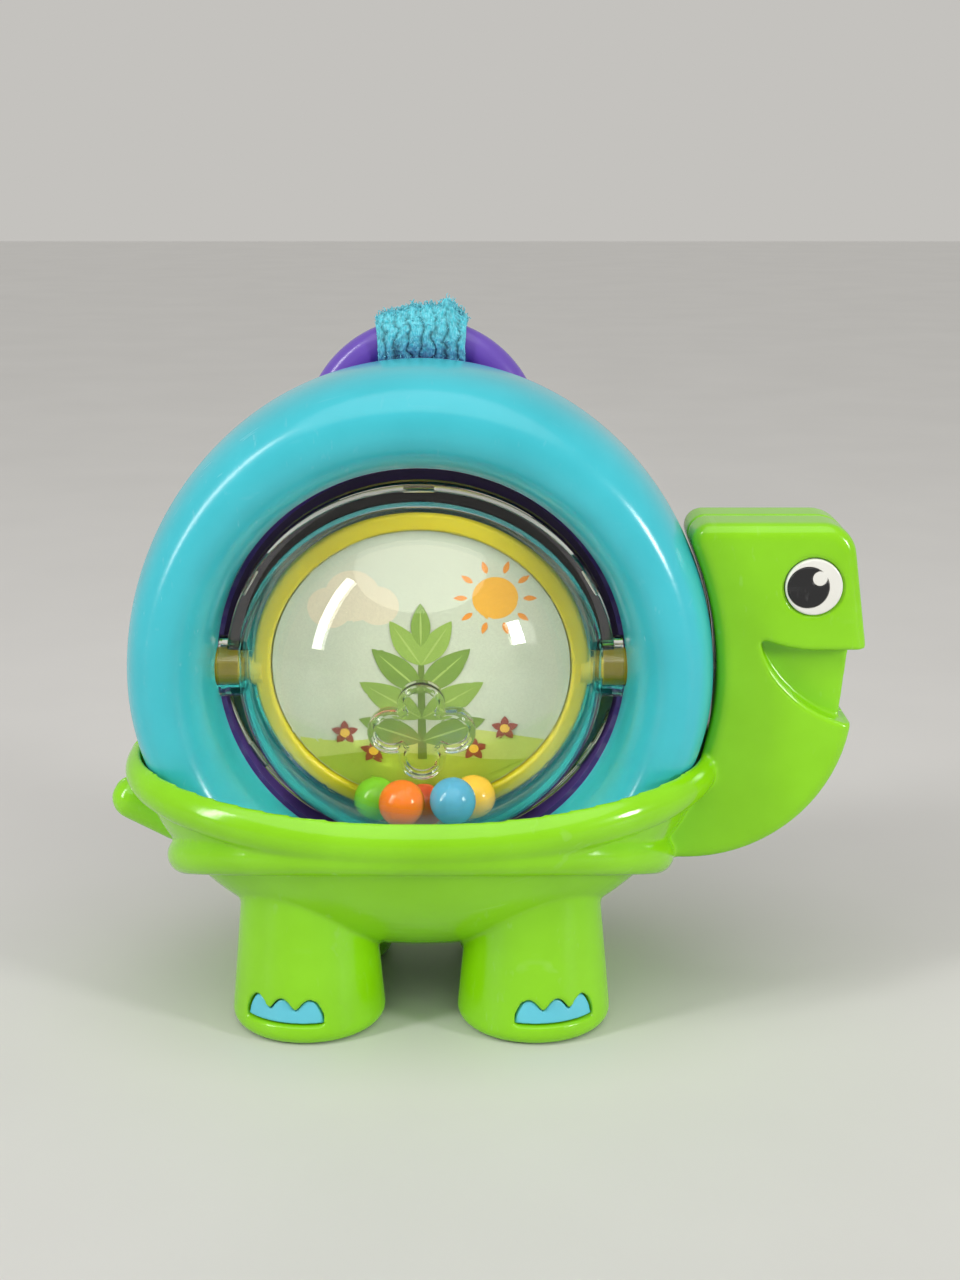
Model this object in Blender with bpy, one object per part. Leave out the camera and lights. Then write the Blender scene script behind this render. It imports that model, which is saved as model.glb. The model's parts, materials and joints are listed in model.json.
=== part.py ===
"""A baby's turtle rattle: a clear tumbling ball with loose beads, in a ring shell on a moulded body.

The turtle stands on four legs with its head towards +X and its hanging loop on the +Y side.
The origin lies on the floor below the middle of the toy. Lengths are in metres.
The sizes below are measured from the middle of the shell's round hole, where the ball turns.
"""

import math

import bmesh
import bpy
from mathutils import Matrix, Vector

MM = 0.001

# Clearances
FIT_GAP = 0.3 * MM
RUNNING_GAP = 2.0 * MM

# Sides of round pieces
FINE_SIDES = 22
COARSE_SIDES = 12

# Ring shell, in a front and a back half
SHELL_SIDE = 55.5 * MM
SHELL_TOP = 58.5 * MM
SHELL_BOTTOM = 51.4 * MM
SHELL_HOLE_RADIUS = 39.2 * MM
SHELL_HALF_DEPTH = 20.0 * MM
SHELL_WALL = 2.0 * MM
SHELL_SQUARENESS = 2.4
SHELL_STEPS = 40
SHELL_SECTION_STEPS = 12
HOLLOW_SECTION_STEPS = 6

# Hanging loop on the back half, with the cut-off strap round it
LOOP_RADIUS = 20.0 * MM
LOOP_WIRE_RADIUS = 3.4 * MM
LOOP_CENTRE_BELOW_TOP = 17.2 * MM
LOOP_SETBACK = 18.5 * MM
LOOP_FOOT_ANGLE = math.radians(4)
STRAP_WIDTH = 16.7 * MM
STRAP_THICKNESS = 1.2 * MM
STRAP_TAB_HEIGHT = 1.5 * MM

# Clear ball: two domes with a snap flange
FLANGE_HALF_WIDTH = 3.2 * MM
FLANGE_STEP = 2.0 * MM
FLANGE_CHAMFER = 0.6 * MM
DOME_HEIGHT = 30.0 * MM
DOME_WALL = 1.8 * MM
BALL_TILT = math.radians(11)
SNAP_COUNT = 6
SNAP_WIDTH = 5.6 * MM
SNAP_HEIGHT = 1.2 * MM
SNAP_DEPTH = 0.9 * MM
BALL_STEPS = 36

# Picture ring with its two trunnions, and the two picture discs
PICTURE_RING_LEDGE = 1.1 * MM
PICTURE_RING_WIDTH = 3.3 * MM
PICTURE_RING_HALF_DEPTH = 3.0 * MM
PICTURE_RING_ROUNDING = 0.8 * MM
PICTURE_SEAT_WIDTH = 2.4 * MM
PICTURE_SEAT_THICKNESS = 1.2 * MM
PICTURE_DISC_THICKNESS = 0.8 * MM
TRUNNION_RADIUS = 3.6 * MM
TRUNNION_END_PLAY = 1.0 * MM
TRUNNION_BOSS_WALL = 2.0 * MM

# Loose filling of the ball's front chamber
BEAD_RADIUS = 4.4 * MM
BEAD_BACK_ROW = {"bead_green": -19.5, "bead_red": 0.5, "bead_yellow": 22.0}
BEAD_FRONT_ROW = {"bead_orange": -9.5, "bead_blue": 16.0}
BEAD_ROW_STEP = 7.0 * MM
CHARM_LOBE_COUNT = 4
CHARM_LOBE_RADIUS = 4.6 * MM
CHARM_LOBE_REACH = 5.8 * MM
CHARM_THICKNESS = 3.0 * MM

# Body: a boat-shaped bowl with rolled edges, in a front and a back half
STANDING_HEIGHT = 65.2 * MM
BODY_WALL = 2.2 * MM
BOWL_OUTLINE_SQUARENESS = 2.2
BOWL_DEPTH_SQUARENESS = 2.3
RIM_HEIGHTS = (-18.5 * MM, -22.6 * MM)
RIM_RADII = (3.9 * MM, 4.6 * MM)
RIM_INSETS = (2.4 * MM, 3.2 * MM)
RIM_DIP = 4
SKIRT_HEIGHTS = (-37.5 * MM, -23.4 * MM)
SKIRT_RADII = (3.9 * MM, 3.4 * MM)
SKIRT_INSETS = (0.8 * MM, 4.6 * MM)
SKIRT_DIP = 1
ROLL_SIDES = 10
ROLL_STEPS = 24
BOWL_STEPS = 9

# Legs and toes
LEG_SPACING = 21.5 * MM
LEG_SETBACK = 15.6 * MM
LEG_FOOT_RADIUS = 14.6 * MM
LEG_TOP_RADIUS = 12.2 * MM
LEG_FOOT_ROUNDING = 2.4 * MM
LEG_HEIGHT = 28.0 * MM
LEG_SIDES = 26
TOE_SPLAY = math.radians(17)
TOE_WIDTH = 15.0 * MM
TOE_BASE_HEIGHT = 3.4 * MM
TOE_SHOULDER = 3.8 * MM
TOE_SCALLOP = 2.6 * MM
TOE_COUNT = 3
TOE_ARC_STEPS = 5
TOE_DEPTH = 3.4 * MM
TOE_SINK = 0.5 * MM

# Tail
TAIL_REACH = 5.2 * MM
TAIL_RADIUS = 4.3 * MM
TAIL_ROOT = (-47.0 * MM, -31.5 * MM)
TAIL_TIP_HEIGHT = -26.6 * MM

# Head, a slab on the middle plane that rises beside the shell
HEAD_HALF_THICKNESS = 10.0 * MM
HEAD_TOP = 29.5 * MM
HEAD_REACH = 28.1 * MM
HEAD_EDGE_ROUNDING = 2.4 * MM
HEAD_ARC_STEPS = 8
CORNER_STEPS = 7
HEAD_BACK_CORNER = 3.4 * MM
HEAD_BROW_CORNER = 6.5 * MM
HEAD_BROW_SETBACK = 3.4 * MM
CHIN_SETBACK = 1.9 * MM
CHIN_HEIGHT = -5.0 * MM
NECK_BOTTOM = -36.0 * MM
MOUTH_LIP_HEIGHT = 5.6 * MM
MOUTH_CORNER_HEIGHT = 7.8 * MM
MOUTH_LENGTH = 20.0 * MM
MOUTH_CURL = 11.0 * MM
MOUTH_STEPS = 8
MOUTH_DROP = 14.4 * MM
MOUTH_SQUARENESS = 1.62
MOUTH_DEPTH = 4.2 * MM
MOUTH_WEB_SETBACK = 2.8 * MM
MOUTH_WEB_SLANT = 1.4 * MM

# Eyes
EYE_RADIUS = 5.3 * MM
EYE_HEIGHT = 17.8 * MM
EYE_SETBACK = 10.6 * MM
EYE_SEAT_DEPTH = 1.6 * MM
EYE_PROUD = 0.4 * MM
PUPIL_RADIUS = 3.8 * MM
PUPIL_SHIFT = 1.1 * MM
PUPIL_DEPTH = 0.7 * MM
GLINT_RADIUS = 1.5 * MM
GLINT_OFFSET = (2.1 * MM, 1.7 * MM)

# Screws, put in from the back
SCREW_HEAD_RADIUS = 2.6 * MM
SCREW_HEAD_THICKNESS = 1.8 * MM
SCREW_SHANK_RADIUS = 1.3 * MM
SCREW_SEAT = 5.0 * MM
SCREW_BITE = 8.0 * MM
SCREW_BOSS_WALL = 1.4 * MM
SHELL_SCREW_ANGLES = (35, 145, 215, 325)
NECK_SCREW = (8.0 * MM, -18.0 * MM)
HEAD_SCREW = (8.0 * MM, 19.0 * MM)
LEG_SCREW_DROP = 5.8 * MM

# Sizes that follow from those above
HALF_GAP = FIT_GAP / 2
FLANGE_RADIUS = SHELL_HOLE_RADIUS - RUNNING_GAP
DOME_RADIUS = FLANGE_RADIUS - FLANGE_STEP
PICTURE_SEAT_RADIUS = DOME_RADIUS - DOME_WALL - PICTURE_RING_LEDGE
PICTURE_RING_RADIUS = PICTURE_SEAT_RADIUS - FIT_GAP
PICTURE_RADIUS = PICTURE_RING_RADIUS - PICTURE_RING_WIDTH
TRUNNION_END = SHELL_HOLE_RADIUS + SHELL_WALL + TRUNNION_END_PLAY
BOSS_RADIUS = TRUNNION_RADIUS + FIT_GAP + TRUNNION_BOSS_WALL
BOSS_END = math.sqrt(SHELL_HOLE_RADIUS ** 2 - BOSS_RADIUS ** 2) - FIT_GAP
BOWL_SIDE = SHELL_SIDE + FIT_GAP + BODY_WALL
BOWL_BOTTOM = SHELL_BOTTOM + FIT_GAP + BODY_WALL
BOWL_HALF_DEPTH = FLANGE_RADIUS + RUNNING_GAP + BODY_WALL
HEAD_FRONT = SHELL_SIDE + HEAD_REACH
TAIL_TIP = -SHELL_SIDE - TAIL_REACH
SCREW_WELL_RADIUS = SCREW_HEAD_RADIUS + FIT_GAP
SCREW_HOLE_RADIUS = SCREW_SHANK_RADIUS + FIT_GAP
SCREW_BOSS_RADIUS = SCREW_WELL_RADIUS + SCREW_BOSS_WALL
MIDDLE = (HEAD_FRONT + TAIL_TIP) / 2

FRONT = -1
BACK = 1
BEYOND = 5.0 * MM


def remove_everything():
    """Empty the scene."""
    for thing in list(bpy.data.objects):
        bpy.data.objects.remove(thing)


def material(name, colour, roughness, transmission=0.0):
    """A plain moulded-plastic or cloth material."""
    surface = bpy.data.materials.new(name)
    surface.use_nodes = True
    shader = surface.node_tree.nodes["Principled BSDF"]
    shader.inputs["Base Color"].default_value = (*colour, 1.0)
    shader.inputs["Roughness"].default_value = roughness
    shader.inputs["Metallic"].default_value = 0.0
    shader.inputs["Transmission Weight"].default_value = transmission
    surface.diffuse_color = (*colour, 1.0)
    return surface


def solid(mesh):
    """A working object made from a bmesh, which is used up."""
    bmesh.ops.recalc_face_normals(mesh, faces=mesh.faces)
    data = bpy.data.meshes.new("working")
    mesh.to_mesh(data)
    mesh.free()
    thing = bpy.data.objects.new("working", data)
    bpy.context.scene.collection.objects.link(thing)
    return thing


def skin(rings, wrap=False):
    """A closed solid over a row of point rings. A ring of one point is a pole."""
    mesh = bmesh.new()
    rows = [[mesh.verts.new(point) for point in ring] for ring in rings]
    following = rows[1:] + rows[:1] if wrap else rows[1:]
    for near, far in zip(rows, following):
        for k in range(max(len(near), len(far))):
            corners = [
                near[k % len(near)],
                near[(k + 1) % len(near)],
                far[(k + 1) % len(far)],
                far[k % len(far)],
            ]
            mesh.faces.new(list(dict.fromkeys(corners)))
    bmesh.ops.triangulate(mesh, faces=mesh.faces)
    if not wrap:
        for end in (rows[0], rows[-1]):
            if len(end) > 2:
                mesh.faces.new(end)
    return solid(mesh)


def turned(profile, steps, closed=False):
    """A profile of (radius, y) points turned about the Y axis."""
    rings = []
    for radius, y in profile:
        if radius == 0:
            rings.append([(0, y, 0)])
            continue
        angles = [math.tau * k / steps for k in range(steps)]
        rings.append([(radius * math.cos(a), y, radius * math.sin(a)) for a in angles])
    return skin(rings, wrap=closed)


def rod(start, end, radius, sides, end_radius=None):
    """A straight round bar, or a cone, between two points."""
    start = Vector(start)
    end = Vector(end)
    turn = (end - start).to_track_quat("Z", "Y")
    rings = []
    for centre, size in ((start, radius), (end, radius if end_radius is None else end_radius)):
        angles = [math.tau * (k + 0.5) / sides for k in range(sides)]
        spokes = [Vector((size * math.cos(a), size * math.sin(a), 0)) for a in angles]
        rings.append([centre + turn @ spoke for spoke in spokes])
    return skin(rings)


def tube(path, radii, sides):
    """A round bar along a path of points, with a radius at each point."""
    points = [Vector(point) for point in path]
    rings = []
    for k, (point, radius) in enumerate(zip(points, radii)):
        along = (points[min(k + 1, len(points) - 1)] - points[max(k - 1, 0)]).normalized()
        across = along.cross(Vector((0, 0, 1)))
        if across.length < 0.5:
            across = along.cross(Vector((0, 1, 0)))
        across.normalize()
        third = along.cross(across)
        angles = [math.tau * n / sides for n in range(sides)]
        rings.append([point + radius * (across * math.cos(a) + third * math.sin(a)) for a in angles])
    return skin(rings)


def prism(outline, y_start, y_end):
    """An outline of (x, z) points drawn out along Y."""
    return skin([[(x, y, z) for x, z in outline] for y in (y_start, y_end)])


def block(low, high):
    """A box between two corners."""
    outline = [(low[0], low[2]), (high[0], low[2]), (high[0], high[2]), (low[0], high[2])]
    return prism(outline, low[1], high[1])


def combine(target, tools, operation):
    """Join tools to a working object, cut them away or keep what is shared. The tools are used up."""
    kit = bpy.data.collections.new("tools")
    for tool in tools:
        kit.objects.link(tool)
    modifier = target.modifiers.new("combine", "BOOLEAN")
    modifier.operation = operation
    modifier.solver = "EXACT"
    modifier.operand_type = "COLLECTION"
    modifier.collection = kit
    graph = bpy.context.evaluated_depsgraph_get()
    result = bpy.data.meshes.new_from_object(target.evaluated_get(graph))
    target.modifiers.clear()
    target.data = result
    for tool in tools:
        bpy.data.objects.remove(tool)
    bpy.data.collections.remove(kit)
    return target


def join(target, *tools):
    return combine(target, tools, "UNION")


def cut(target, *tools):
    return combine(target, tools, "DIFFERENCE")


def finish(thing, name, parent, surface):
    """Name a working object, clean it and hang it on its parent."""
    mesh = bmesh.new()
    mesh.from_mesh(thing.data)
    bmesh.ops.remove_doubles(mesh, verts=mesh.verts, dist=0.001 * MM)
    bmesh.ops.dissolve_degenerate(mesh, edges=mesh.edges, dist=0.001 * MM)
    mesh.to_mesh(thing.data)
    mesh.free()
    thing.name = name
    thing.data.name = name
    thing.data.materials.clear()
    thing.data.materials.append(surface)
    thing.data.shade_smooth()
    thing.data.set_sharp_from_angle(angle=math.radians(35))
    thing.parent = parent
    return thing


def empty(name, parent=None, location=(0, 0, 0), tilt=0.0):
    """A frame that pieces hang on."""
    frame = bpy.data.objects.new(name, None)
    bpy.context.scene.collection.objects.link(frame)
    frame.parent = parent
    frame.location = location
    frame.rotation_euler = (tilt, 0, 0)
    return frame


def squircle(turn, width, depth, squareness):
    """A point on a squared-off ellipse."""
    cosine = math.cos(turn)
    sine = math.sin(turn)
    power = 2 / squareness
    return (
        width * math.copysign(abs(cosine) ** power, cosine),
        depth * math.copysign(abs(sine) ** power, sine),
    )


def shell_outline(angle):
    """The shell's outer radius in a direction of the XZ plane: wide sides, a taller top."""
    height = SHELL_TOP if math.sin(angle) >= 0 else SHELL_BOTTOM
    return 1 / math.hypot(math.cos(angle) / SHELL_SIDE, math.sin(angle) / height)


def shell_reach(angle, y):
    """The shell's outer radius at a depth."""
    outline = shell_outline(angle)
    half_width = (outline - SHELL_HOLE_RADIUS) / 2
    share = min(abs(y) / SHELL_HALF_DEPTH, 1.0)
    return outline - half_width + half_width * (1 - share ** SHELL_SQUARENESS) ** (1 / SHELL_SQUARENESS)


def shell_depths():
    """The depths of the section's points, from the outer edge to the deepest point."""
    half_way = SHELL_SECTION_STEPS // 2
    turns = [math.pi * n / SHELL_SECTION_STEPS for n in range(half_way + 1)]
    return [squircle(turn, 0, SHELL_HALF_DEPTH, SHELL_SQUARENESS)[1] for turn in turns]


def shell_ring(side, inset, parting, section_steps):
    """Half of the shell's ring as a solid, or its hollow when it is inset by the wall."""
    rings = []
    for k in range(SHELL_STEPS):
        angle = math.tau * k / SHELL_STEPS
        outline = shell_outline(angle)
        middle = (outline + SHELL_HOLE_RADIUS) / 2
        ring = []
        for n in range(section_steps + 1):
            across, deep = squircle(
                math.pi * n / section_steps,
                (outline - SHELL_HOLE_RADIUS) / 2 - inset,
                SHELL_HALF_DEPTH - inset,
                SHELL_SQUARENESS,
            )
            if n in (0, section_steps):
                deep = parting
            radius = middle + across
            ring.append((radius * math.cos(angle), side * deep, radius * math.sin(angle)))
        rings.append(ring)
    return skin(rings, wrap=True)


def screw_places_on_shell():
    """Where the shell's screws stand, half-way across its ring."""
    places = []
    for degrees in SHELL_SCREW_ANGLES:
        angle = math.radians(degrees)
        radius = (shell_outline(angle) + SHELL_HOLE_RADIUS) / 2
        places.append((radius * math.cos(angle), radius * math.sin(angle)))
    return places


def screw_hole(side, x, z, back_face):
    """A pilot hole for a front half, or a through hole and a head well for a back half."""
    if side == FRONT:
        return [rod((x, BEYOND, z), (x, -SCREW_BITE - FIT_GAP, z), SCREW_HOLE_RADIUS, COARSE_SIDES)]
    hole = rod((x, -BEYOND, z), (x, SCREW_SEAT + BEYOND / 2, z), SCREW_HOLE_RADIUS, COARSE_SIDES)
    well = rod((x, SCREW_SEAT, z), (x, back_face + BEYOND, z), SCREW_WELL_RADIUS, COARSE_SIDES)
    return [hole, well]


def hanging_loop():
    """The arch that the strap goes round."""
    centre = SHELL_TOP - LOOP_CENTRE_BELOW_TOP
    path = []
    for k in range(15):
        angle = LOOP_FOOT_ANGLE + (math.pi - 2 * LOOP_FOOT_ANGLE) * k / 14
        path.append((LOOP_RADIUS * math.cos(angle), LOOP_SETBACK, centre + LOOP_RADIUS * math.sin(angle)))
    return tube(path, [LOOP_WIRE_RADIUS] * len(path), COARSE_SIDES)


def shell_half(side):
    """A hollow half ring with screw bosses and half of each trunnion bearing."""
    half = shell_ring(side, 0, HALF_GAP, SHELL_SECTION_STEPS)
    if side == BACK:
        join(half, hanging_loop())
    cut(half, shell_ring(side, SHELL_WALL, -BEYOND, HOLLOW_SECTION_STEPS))
    far = SHELL_HALF_DEPTH + BEYOND
    bosses = []
    holes = []
    for x, z in screw_places_on_shell():
        bosses.append(rod((x, -far, z), (x, far, z), SCREW_BOSS_RADIUS, COARSE_SIDES))
        holes += screw_hole(side, x, z, SHELL_HALF_DEPTH)
    bearing = TRUNNION_RADIUS + FIT_GAP
    for end in (-1, 1):
        inner = (end * (SHELL_HOLE_RADIUS - BEYOND), 0, 0)
        holes.append(rod(inner, (end * (TRUNNION_END + FIT_GAP), 0, 0), bearing, FINE_SIDES))
    within_wall = shell_ring(side, SHELL_WALL / 2, HALF_GAP + FIT_GAP, SHELL_SECTION_STEPS)
    join(half, combine(within_wall, [join(*bosses)], "INTERSECT"))
    return cut(half, *holes)


def strap():
    """A short band folded round the loop, with both ends cut off together just above it."""
    centre = SHELL_TOP - LOOP_CENTRE_BELOW_TOP
    inner = LOOP_WIRE_RADIUS + FIT_GAP
    outer = inner + STRAP_THICKNESS
    stations = 7
    sides = 14
    outside = []
    inside = []
    for k in range(stations):
        x = STRAP_WIDTH * (k / (stations - 1) - 0.5)
        rise = math.sqrt(LOOP_RADIUS ** 2 - x ** 2)
        stretch = LOOP_RADIUS / rise
        for radius, rings in ((outer, outside), (inner, inside)):
            ring = []
            for n in range(sides):
                angle = math.tau * n / sides
                lift = STRAP_TAB_HEIGHT * max(math.sin(angle), 0) ** 3 if radius == outer else 0
                y = LOOP_SETBACK + radius * math.cos(angle)
                ring.append((x, y, centre + rise + radius * stretch * math.sin(angle) + lift))
            rings.append(ring)
    return skin(outside + inside[::-1], wrap=True)


def dome_profile():
    """From the outer pole round the flange's half to the inner pole, as (radius, depth)."""
    steps = 8
    start = math.asin(FLANGE_HALF_WIDTH / DOME_HEIGHT)
    inner_radius = DOME_RADIUS - DOME_WALL
    inner_height = DOME_HEIGHT - DOME_WALL
    ledge = PICTURE_RING_HALF_DEPTH + FIT_GAP
    inner_start = math.asin(ledge / inner_height)
    outer = []
    inner = []
    for k in range(steps):
        turn = math.pi / 2 + (start - math.pi / 2) * k / (steps - 1)
        outer.append((DOME_RADIUS * math.cos(turn) if k else 0, DOME_HEIGHT * math.sin(turn)))
        turn = inner_start + (math.pi / 2 - inner_start) * k / (steps - 1)
        last = k == steps - 1
        inner.append((0 if last else inner_radius * math.cos(turn), inner_height * math.sin(turn)))
    flange = [
        (FLANGE_RADIUS - FLANGE_CHAMFER, FLANGE_HALF_WIDTH),
        (FLANGE_RADIUS, FLANGE_HALF_WIDTH - FLANGE_CHAMFER),
        (FLANGE_RADIUS, HALF_GAP),
        (PICTURE_SEAT_RADIUS, HALF_GAP),
        (PICTURE_SEAT_RADIUS, ledge),
    ]
    return outer + flange + inner


def other_side(side):
    """All the space on the far side of the parting gap."""
    far = 2 * HEAD_FRONT
    parting = side * HALF_GAP
    return block((-far, min(parting, -side * far), -far), (far, max(parting, -side * far), far))


def dome(side):
    """A clear dome with half of the flange and half of each trunnion boss."""
    shell = turned([(radius, side * depth) for radius, depth in dome_profile()], BALL_STEPS)
    bosses = []
    bores = [other_side(side)]
    for end in (-1, 1):
        root = end * (PICTURE_SEAT_RADIUS + FIT_GAP)
        bosses.append(rod((root, 0, 0), (end * BOSS_END, 0, 0), BOSS_RADIUS, FINE_SIDES))
        bore = TRUNNION_RADIUS + FIT_GAP
        bores.append(rod((end * PICTURE_RADIUS, 0, 0), (end * SHELL_SIDE, 0, 0), bore, FINE_SIDES))
    if side == FRONT:
        for k in range(SNAP_COUNT):
            window = block(
                (-SNAP_WIDTH / 2, -HALF_GAP - SNAP_HEIGHT - FIT_GAP, FLANGE_RADIUS - SNAP_DEPTH),
                (SNAP_WIDTH / 2, -HALF_GAP - FIT_GAP, FLANGE_RADIUS + BEYOND),
            )
            window.data.transform(Matrix.Rotation(math.tau * k / SNAP_COUNT, 4, "Y"))
            bores.append(window)
    join(shell, *bosses)
    return cut(shell, *bores)


def picture_ring():
    """The ring that holds both picture discs, with a trunnion at each side."""
    rim = PICTURE_RING_HALF_DEPTH
    soft = PICTURE_RING_ROUNDING
    seat = PICTURE_SEAT_THICKNESS / 2
    half = [
        (PICTURE_RING_RADIUS, rim - soft),
        (PICTURE_RING_RADIUS - soft, rim),
        (PICTURE_RADIUS + soft, rim),
        (PICTURE_RADIUS, rim - soft),
        (PICTURE_RADIUS, seat),
        (PICTURE_RADIUS - PICTURE_SEAT_WIDTH, seat),
    ]
    ring = turned(half + [(radius, -y) for radius, y in half[::-1]], BALL_STEPS, closed=True)
    trunnions = []
    for end in (-1, 1):
        root = end * (PICTURE_RADIUS + PICTURE_RING_WIDTH / 2)
        trunnions.append(rod((root, 0, 0), (end * TRUNNION_END, 0, 0), TRUNNION_RADIUS, FINE_SIDES))
    return join(ring, *trunnions)


def picture_disc(side):
    """A printed disc that lies on the ring's seat."""
    near = side * (PICTURE_SEAT_THICKNESS / 2 + FIT_GAP)
    far = near + side * PICTURE_DISC_THICKNESS
    radius = PICTURE_RADIUS - FIT_GAP
    return turned([(0, near), (radius, near), (radius, far), (0, far)], BALL_STEPS)


def bead_place(degrees, row):
    """A bead's centre on the floor of the front chamber, counted from its lowest point."""
    clear = BEAD_RADIUS + FIT_GAP
    depth = PICTURE_RING_HALF_DEPTH + clear + row * BEAD_ROW_STEP
    height = DOME_HEIGHT - DOME_WALL - clear
    radius = (DOME_RADIUS - DOME_WALL - clear) * math.sqrt(1 - (depth / height) ** 2) - 2 * FIT_GAP
    angle = math.radians(degrees)
    return Vector((radius * math.sin(angle), -depth, -radius * math.cos(angle)))


def bead():
    """A small ball."""
    mesh = bmesh.new()
    bmesh.ops.create_uvsphere(mesh, u_segments=12, v_segments=8, radius=BEAD_RADIUS)
    return solid(mesh)


def charm():
    """A flat clear charm of round lobes, lying loose in front of the picture."""
    outline = []
    lobe_steps = 6
    centre = bead_place(0, 0).z + BEAD_RADIUS + FIT_GAP + CHARM_LOBE_REACH + CHARM_LOBE_RADIUS
    pitch = math.tau / CHARM_LOBE_COUNT
    waist = CHARM_LOBE_REACH * math.sin(pitch / 2) / CHARM_LOBE_RADIUS
    sweep = pitch / 2 + math.asin(min(waist, 1))
    for lobe in range(CHARM_LOBE_COUNT):
        heading = math.pi / 2 + pitch * lobe
        for k in range(lobe_steps):
            angle = heading + sweep * (2 * (k + 0.5) / lobe_steps - 1)
            x = CHARM_LOBE_REACH * math.cos(heading) + CHARM_LOBE_RADIUS * math.cos(angle)
            z = CHARM_LOBE_REACH * math.sin(heading) + CHARM_LOBE_RADIUS * math.sin(angle)
            outline.append((x, z + centre))
    near = -PICTURE_RING_HALF_DEPTH - FIT_GAP
    return prism(outline, near, near - CHARM_THICKNESS)


def bowl_surface(x_reach, z_reach, half_depth, y, z):
    """The half width of a boat-shaped form at a depth and a height."""
    full = (1 - (abs(y) / half_depth) ** BOWL_DEPTH_SQUARENESS) ** (1 / BOWL_DEPTH_SQUARENESS)
    rest = full ** BOWL_OUTLINE_SQUARENESS - (abs(z) / z_reach) ** BOWL_OUTLINE_SQUARENESS
    return x_reach * max(rest, 0) ** (1 / BOWL_OUTLINE_SQUARENESS)


def bowl_outline(angle, inset):
    """The bowl's radius in a direction of the XZ plane."""
    power = BOWL_OUTLINE_SQUARENESS
    reach = (abs(math.cos(angle)) / (BOWL_SIDE - inset)) ** power
    reach += (abs(math.sin(angle)) / (BOWL_BOTTOM - inset)) ** power
    return reach ** (-1 / power)


def bowl(side):
    """Half of the boat-shaped bowl, level along its top edge."""
    power = BOWL_DEPTH_SQUARENESS
    top = sum(RIM_HEIGHTS) / 2
    front = BOWL_HALF_DEPTH * (1 - (abs(top) / BOWL_BOTTOM) ** power) ** (1 / power)
    rings = []
    for n in range(BOWL_STEPS):
        y = front * math.sin(math.pi / 2 * n / BOWL_STEPS)
        low = -BOWL_BOTTOM * (1 - (y / BOWL_HALF_DEPTH) ** power) ** (1 / power)
        ring = []
        for k in range(ROLL_STEPS + 1):
            turn = math.pi * k / ROLL_STEPS
            z = top + (low - top) * math.sin(turn)
            reach = bowl_surface(BOWL_SIDE, BOWL_BOTTOM, BOWL_HALF_DEPTH, y, z)
            ring.append((math.copysign(reach, math.cos(turn)), side * y, z))
        rings.append(ring)
    return skin(rings + [[(0, side * front, top)]])


def shell_room(side):
    """The room inside the bowl: its own hollow, widened where the shell stands in it."""
    power = BOWL_DEPTH_SQUARENESS
    half_depth = BOWL_HALF_DEPTH - BODY_WALL
    depths = shell_depths()
    for n in range(BOWL_STEPS):
        depth = squircle(math.pi / 2 * n / BOWL_STEPS, 0, half_depth, power)[1]
        if depth > SHELL_HALF_DEPTH:
            depths.append(depth)
    rings = []
    for n, depth in enumerate(depths):
        full = (1 - (depth / half_depth) ** power) ** (1 / power)
        ring = []
        for k in range(SHELL_STEPS):
            angle = math.tau * k / SHELL_STEPS
            radius = full * bowl_outline(angle, BODY_WALL)
            if depth <= SHELL_HALF_DEPTH:
                radius = max(radius, shell_reach(angle, depth) + FIT_GAP)
            y = depth if n else -2 * BEYOND
            ring.append((radius * math.cos(angle), side * y, radius * math.sin(angle)))
        rings.append(ring)
    return skin(rings + [[(0, side * half_depth, 0)]])


def roll(side, radii, insets, heights, dip):
    """A rounded edge along the bowl. Each pair holds the values at its ends and at its front."""
    x_reach = BOWL_SIDE - insets[0]
    z_reach = BOWL_BOTTOM - insets[0]
    half_depth = BOWL_HALF_DEPTH - insets[1]
    share = abs(heights[1]) / z_reach
    front = half_depth * (1 - share ** BOWL_DEPTH_SQUARENESS) ** (1 / BOWL_DEPTH_SQUARENESS)
    path = []
    thickness = []
    for k in range(ROLL_STEPS + 1):
        turn = math.pi * k / ROLL_STEPS
        blend = math.sin(turn) ** dip
        y = front * math.sin(turn)
        z = heights[0] + (heights[1] - heights[0]) * blend
        x = math.copysign(bowl_surface(x_reach, z_reach, half_depth, y, z), math.cos(turn))
        path.append((x, side * y, z))
        thickness.append(radii[0] + (radii[1] - radii[0]) * blend)
    first = (path[0][0], -side * BEYOND, path[0][2])
    last = (path[-1][0], -side * BEYOND, path[-1][2])
    return tube([first] + path + [last], thickness[:1] + thickness + thickness[-1:], ROLL_SIDES)


def leg_radius(height):
    """The leg's radius at a height above the floor."""
    return LEG_FOOT_RADIUS + (LEG_TOP_RADIUS - LEG_FOOT_RADIUS) * height / LEG_HEIGHT


def toe_pocket_floor():
    """How far the floor of the toes' pocket lies from the leg's middle."""
    return leg_radius(TOE_BASE_HEIGHT + TOE_SHOULDER + TOE_SCALLOP) - TOE_DEPTH


def leg(side, end):
    """A stout round leg, a little wider at the foot."""
    x = end * LEG_SPACING
    y = side * LEG_SETBACK
    floor = -STANDING_HEIGHT
    levels = (
        (LEG_FOOT_RADIUS - LEG_FOOT_ROUNDING, 0),
        (LEG_FOOT_RADIUS - LEG_FOOT_ROUNDING / 3, LEG_FOOT_ROUNDING / 3),
        (LEG_FOOT_RADIUS, LEG_FOOT_ROUNDING),
        (LEG_TOP_RADIUS, LEG_HEIGHT),
    )
    rings = []
    for radius, height in levels:
        angles = [math.tau * k / LEG_SIDES for k in range(LEG_SIDES)]
        rings.append([(x + radius * math.cos(a), y + radius * math.sin(a), floor + height) for a in angles])
    return skin(rings)


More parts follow.
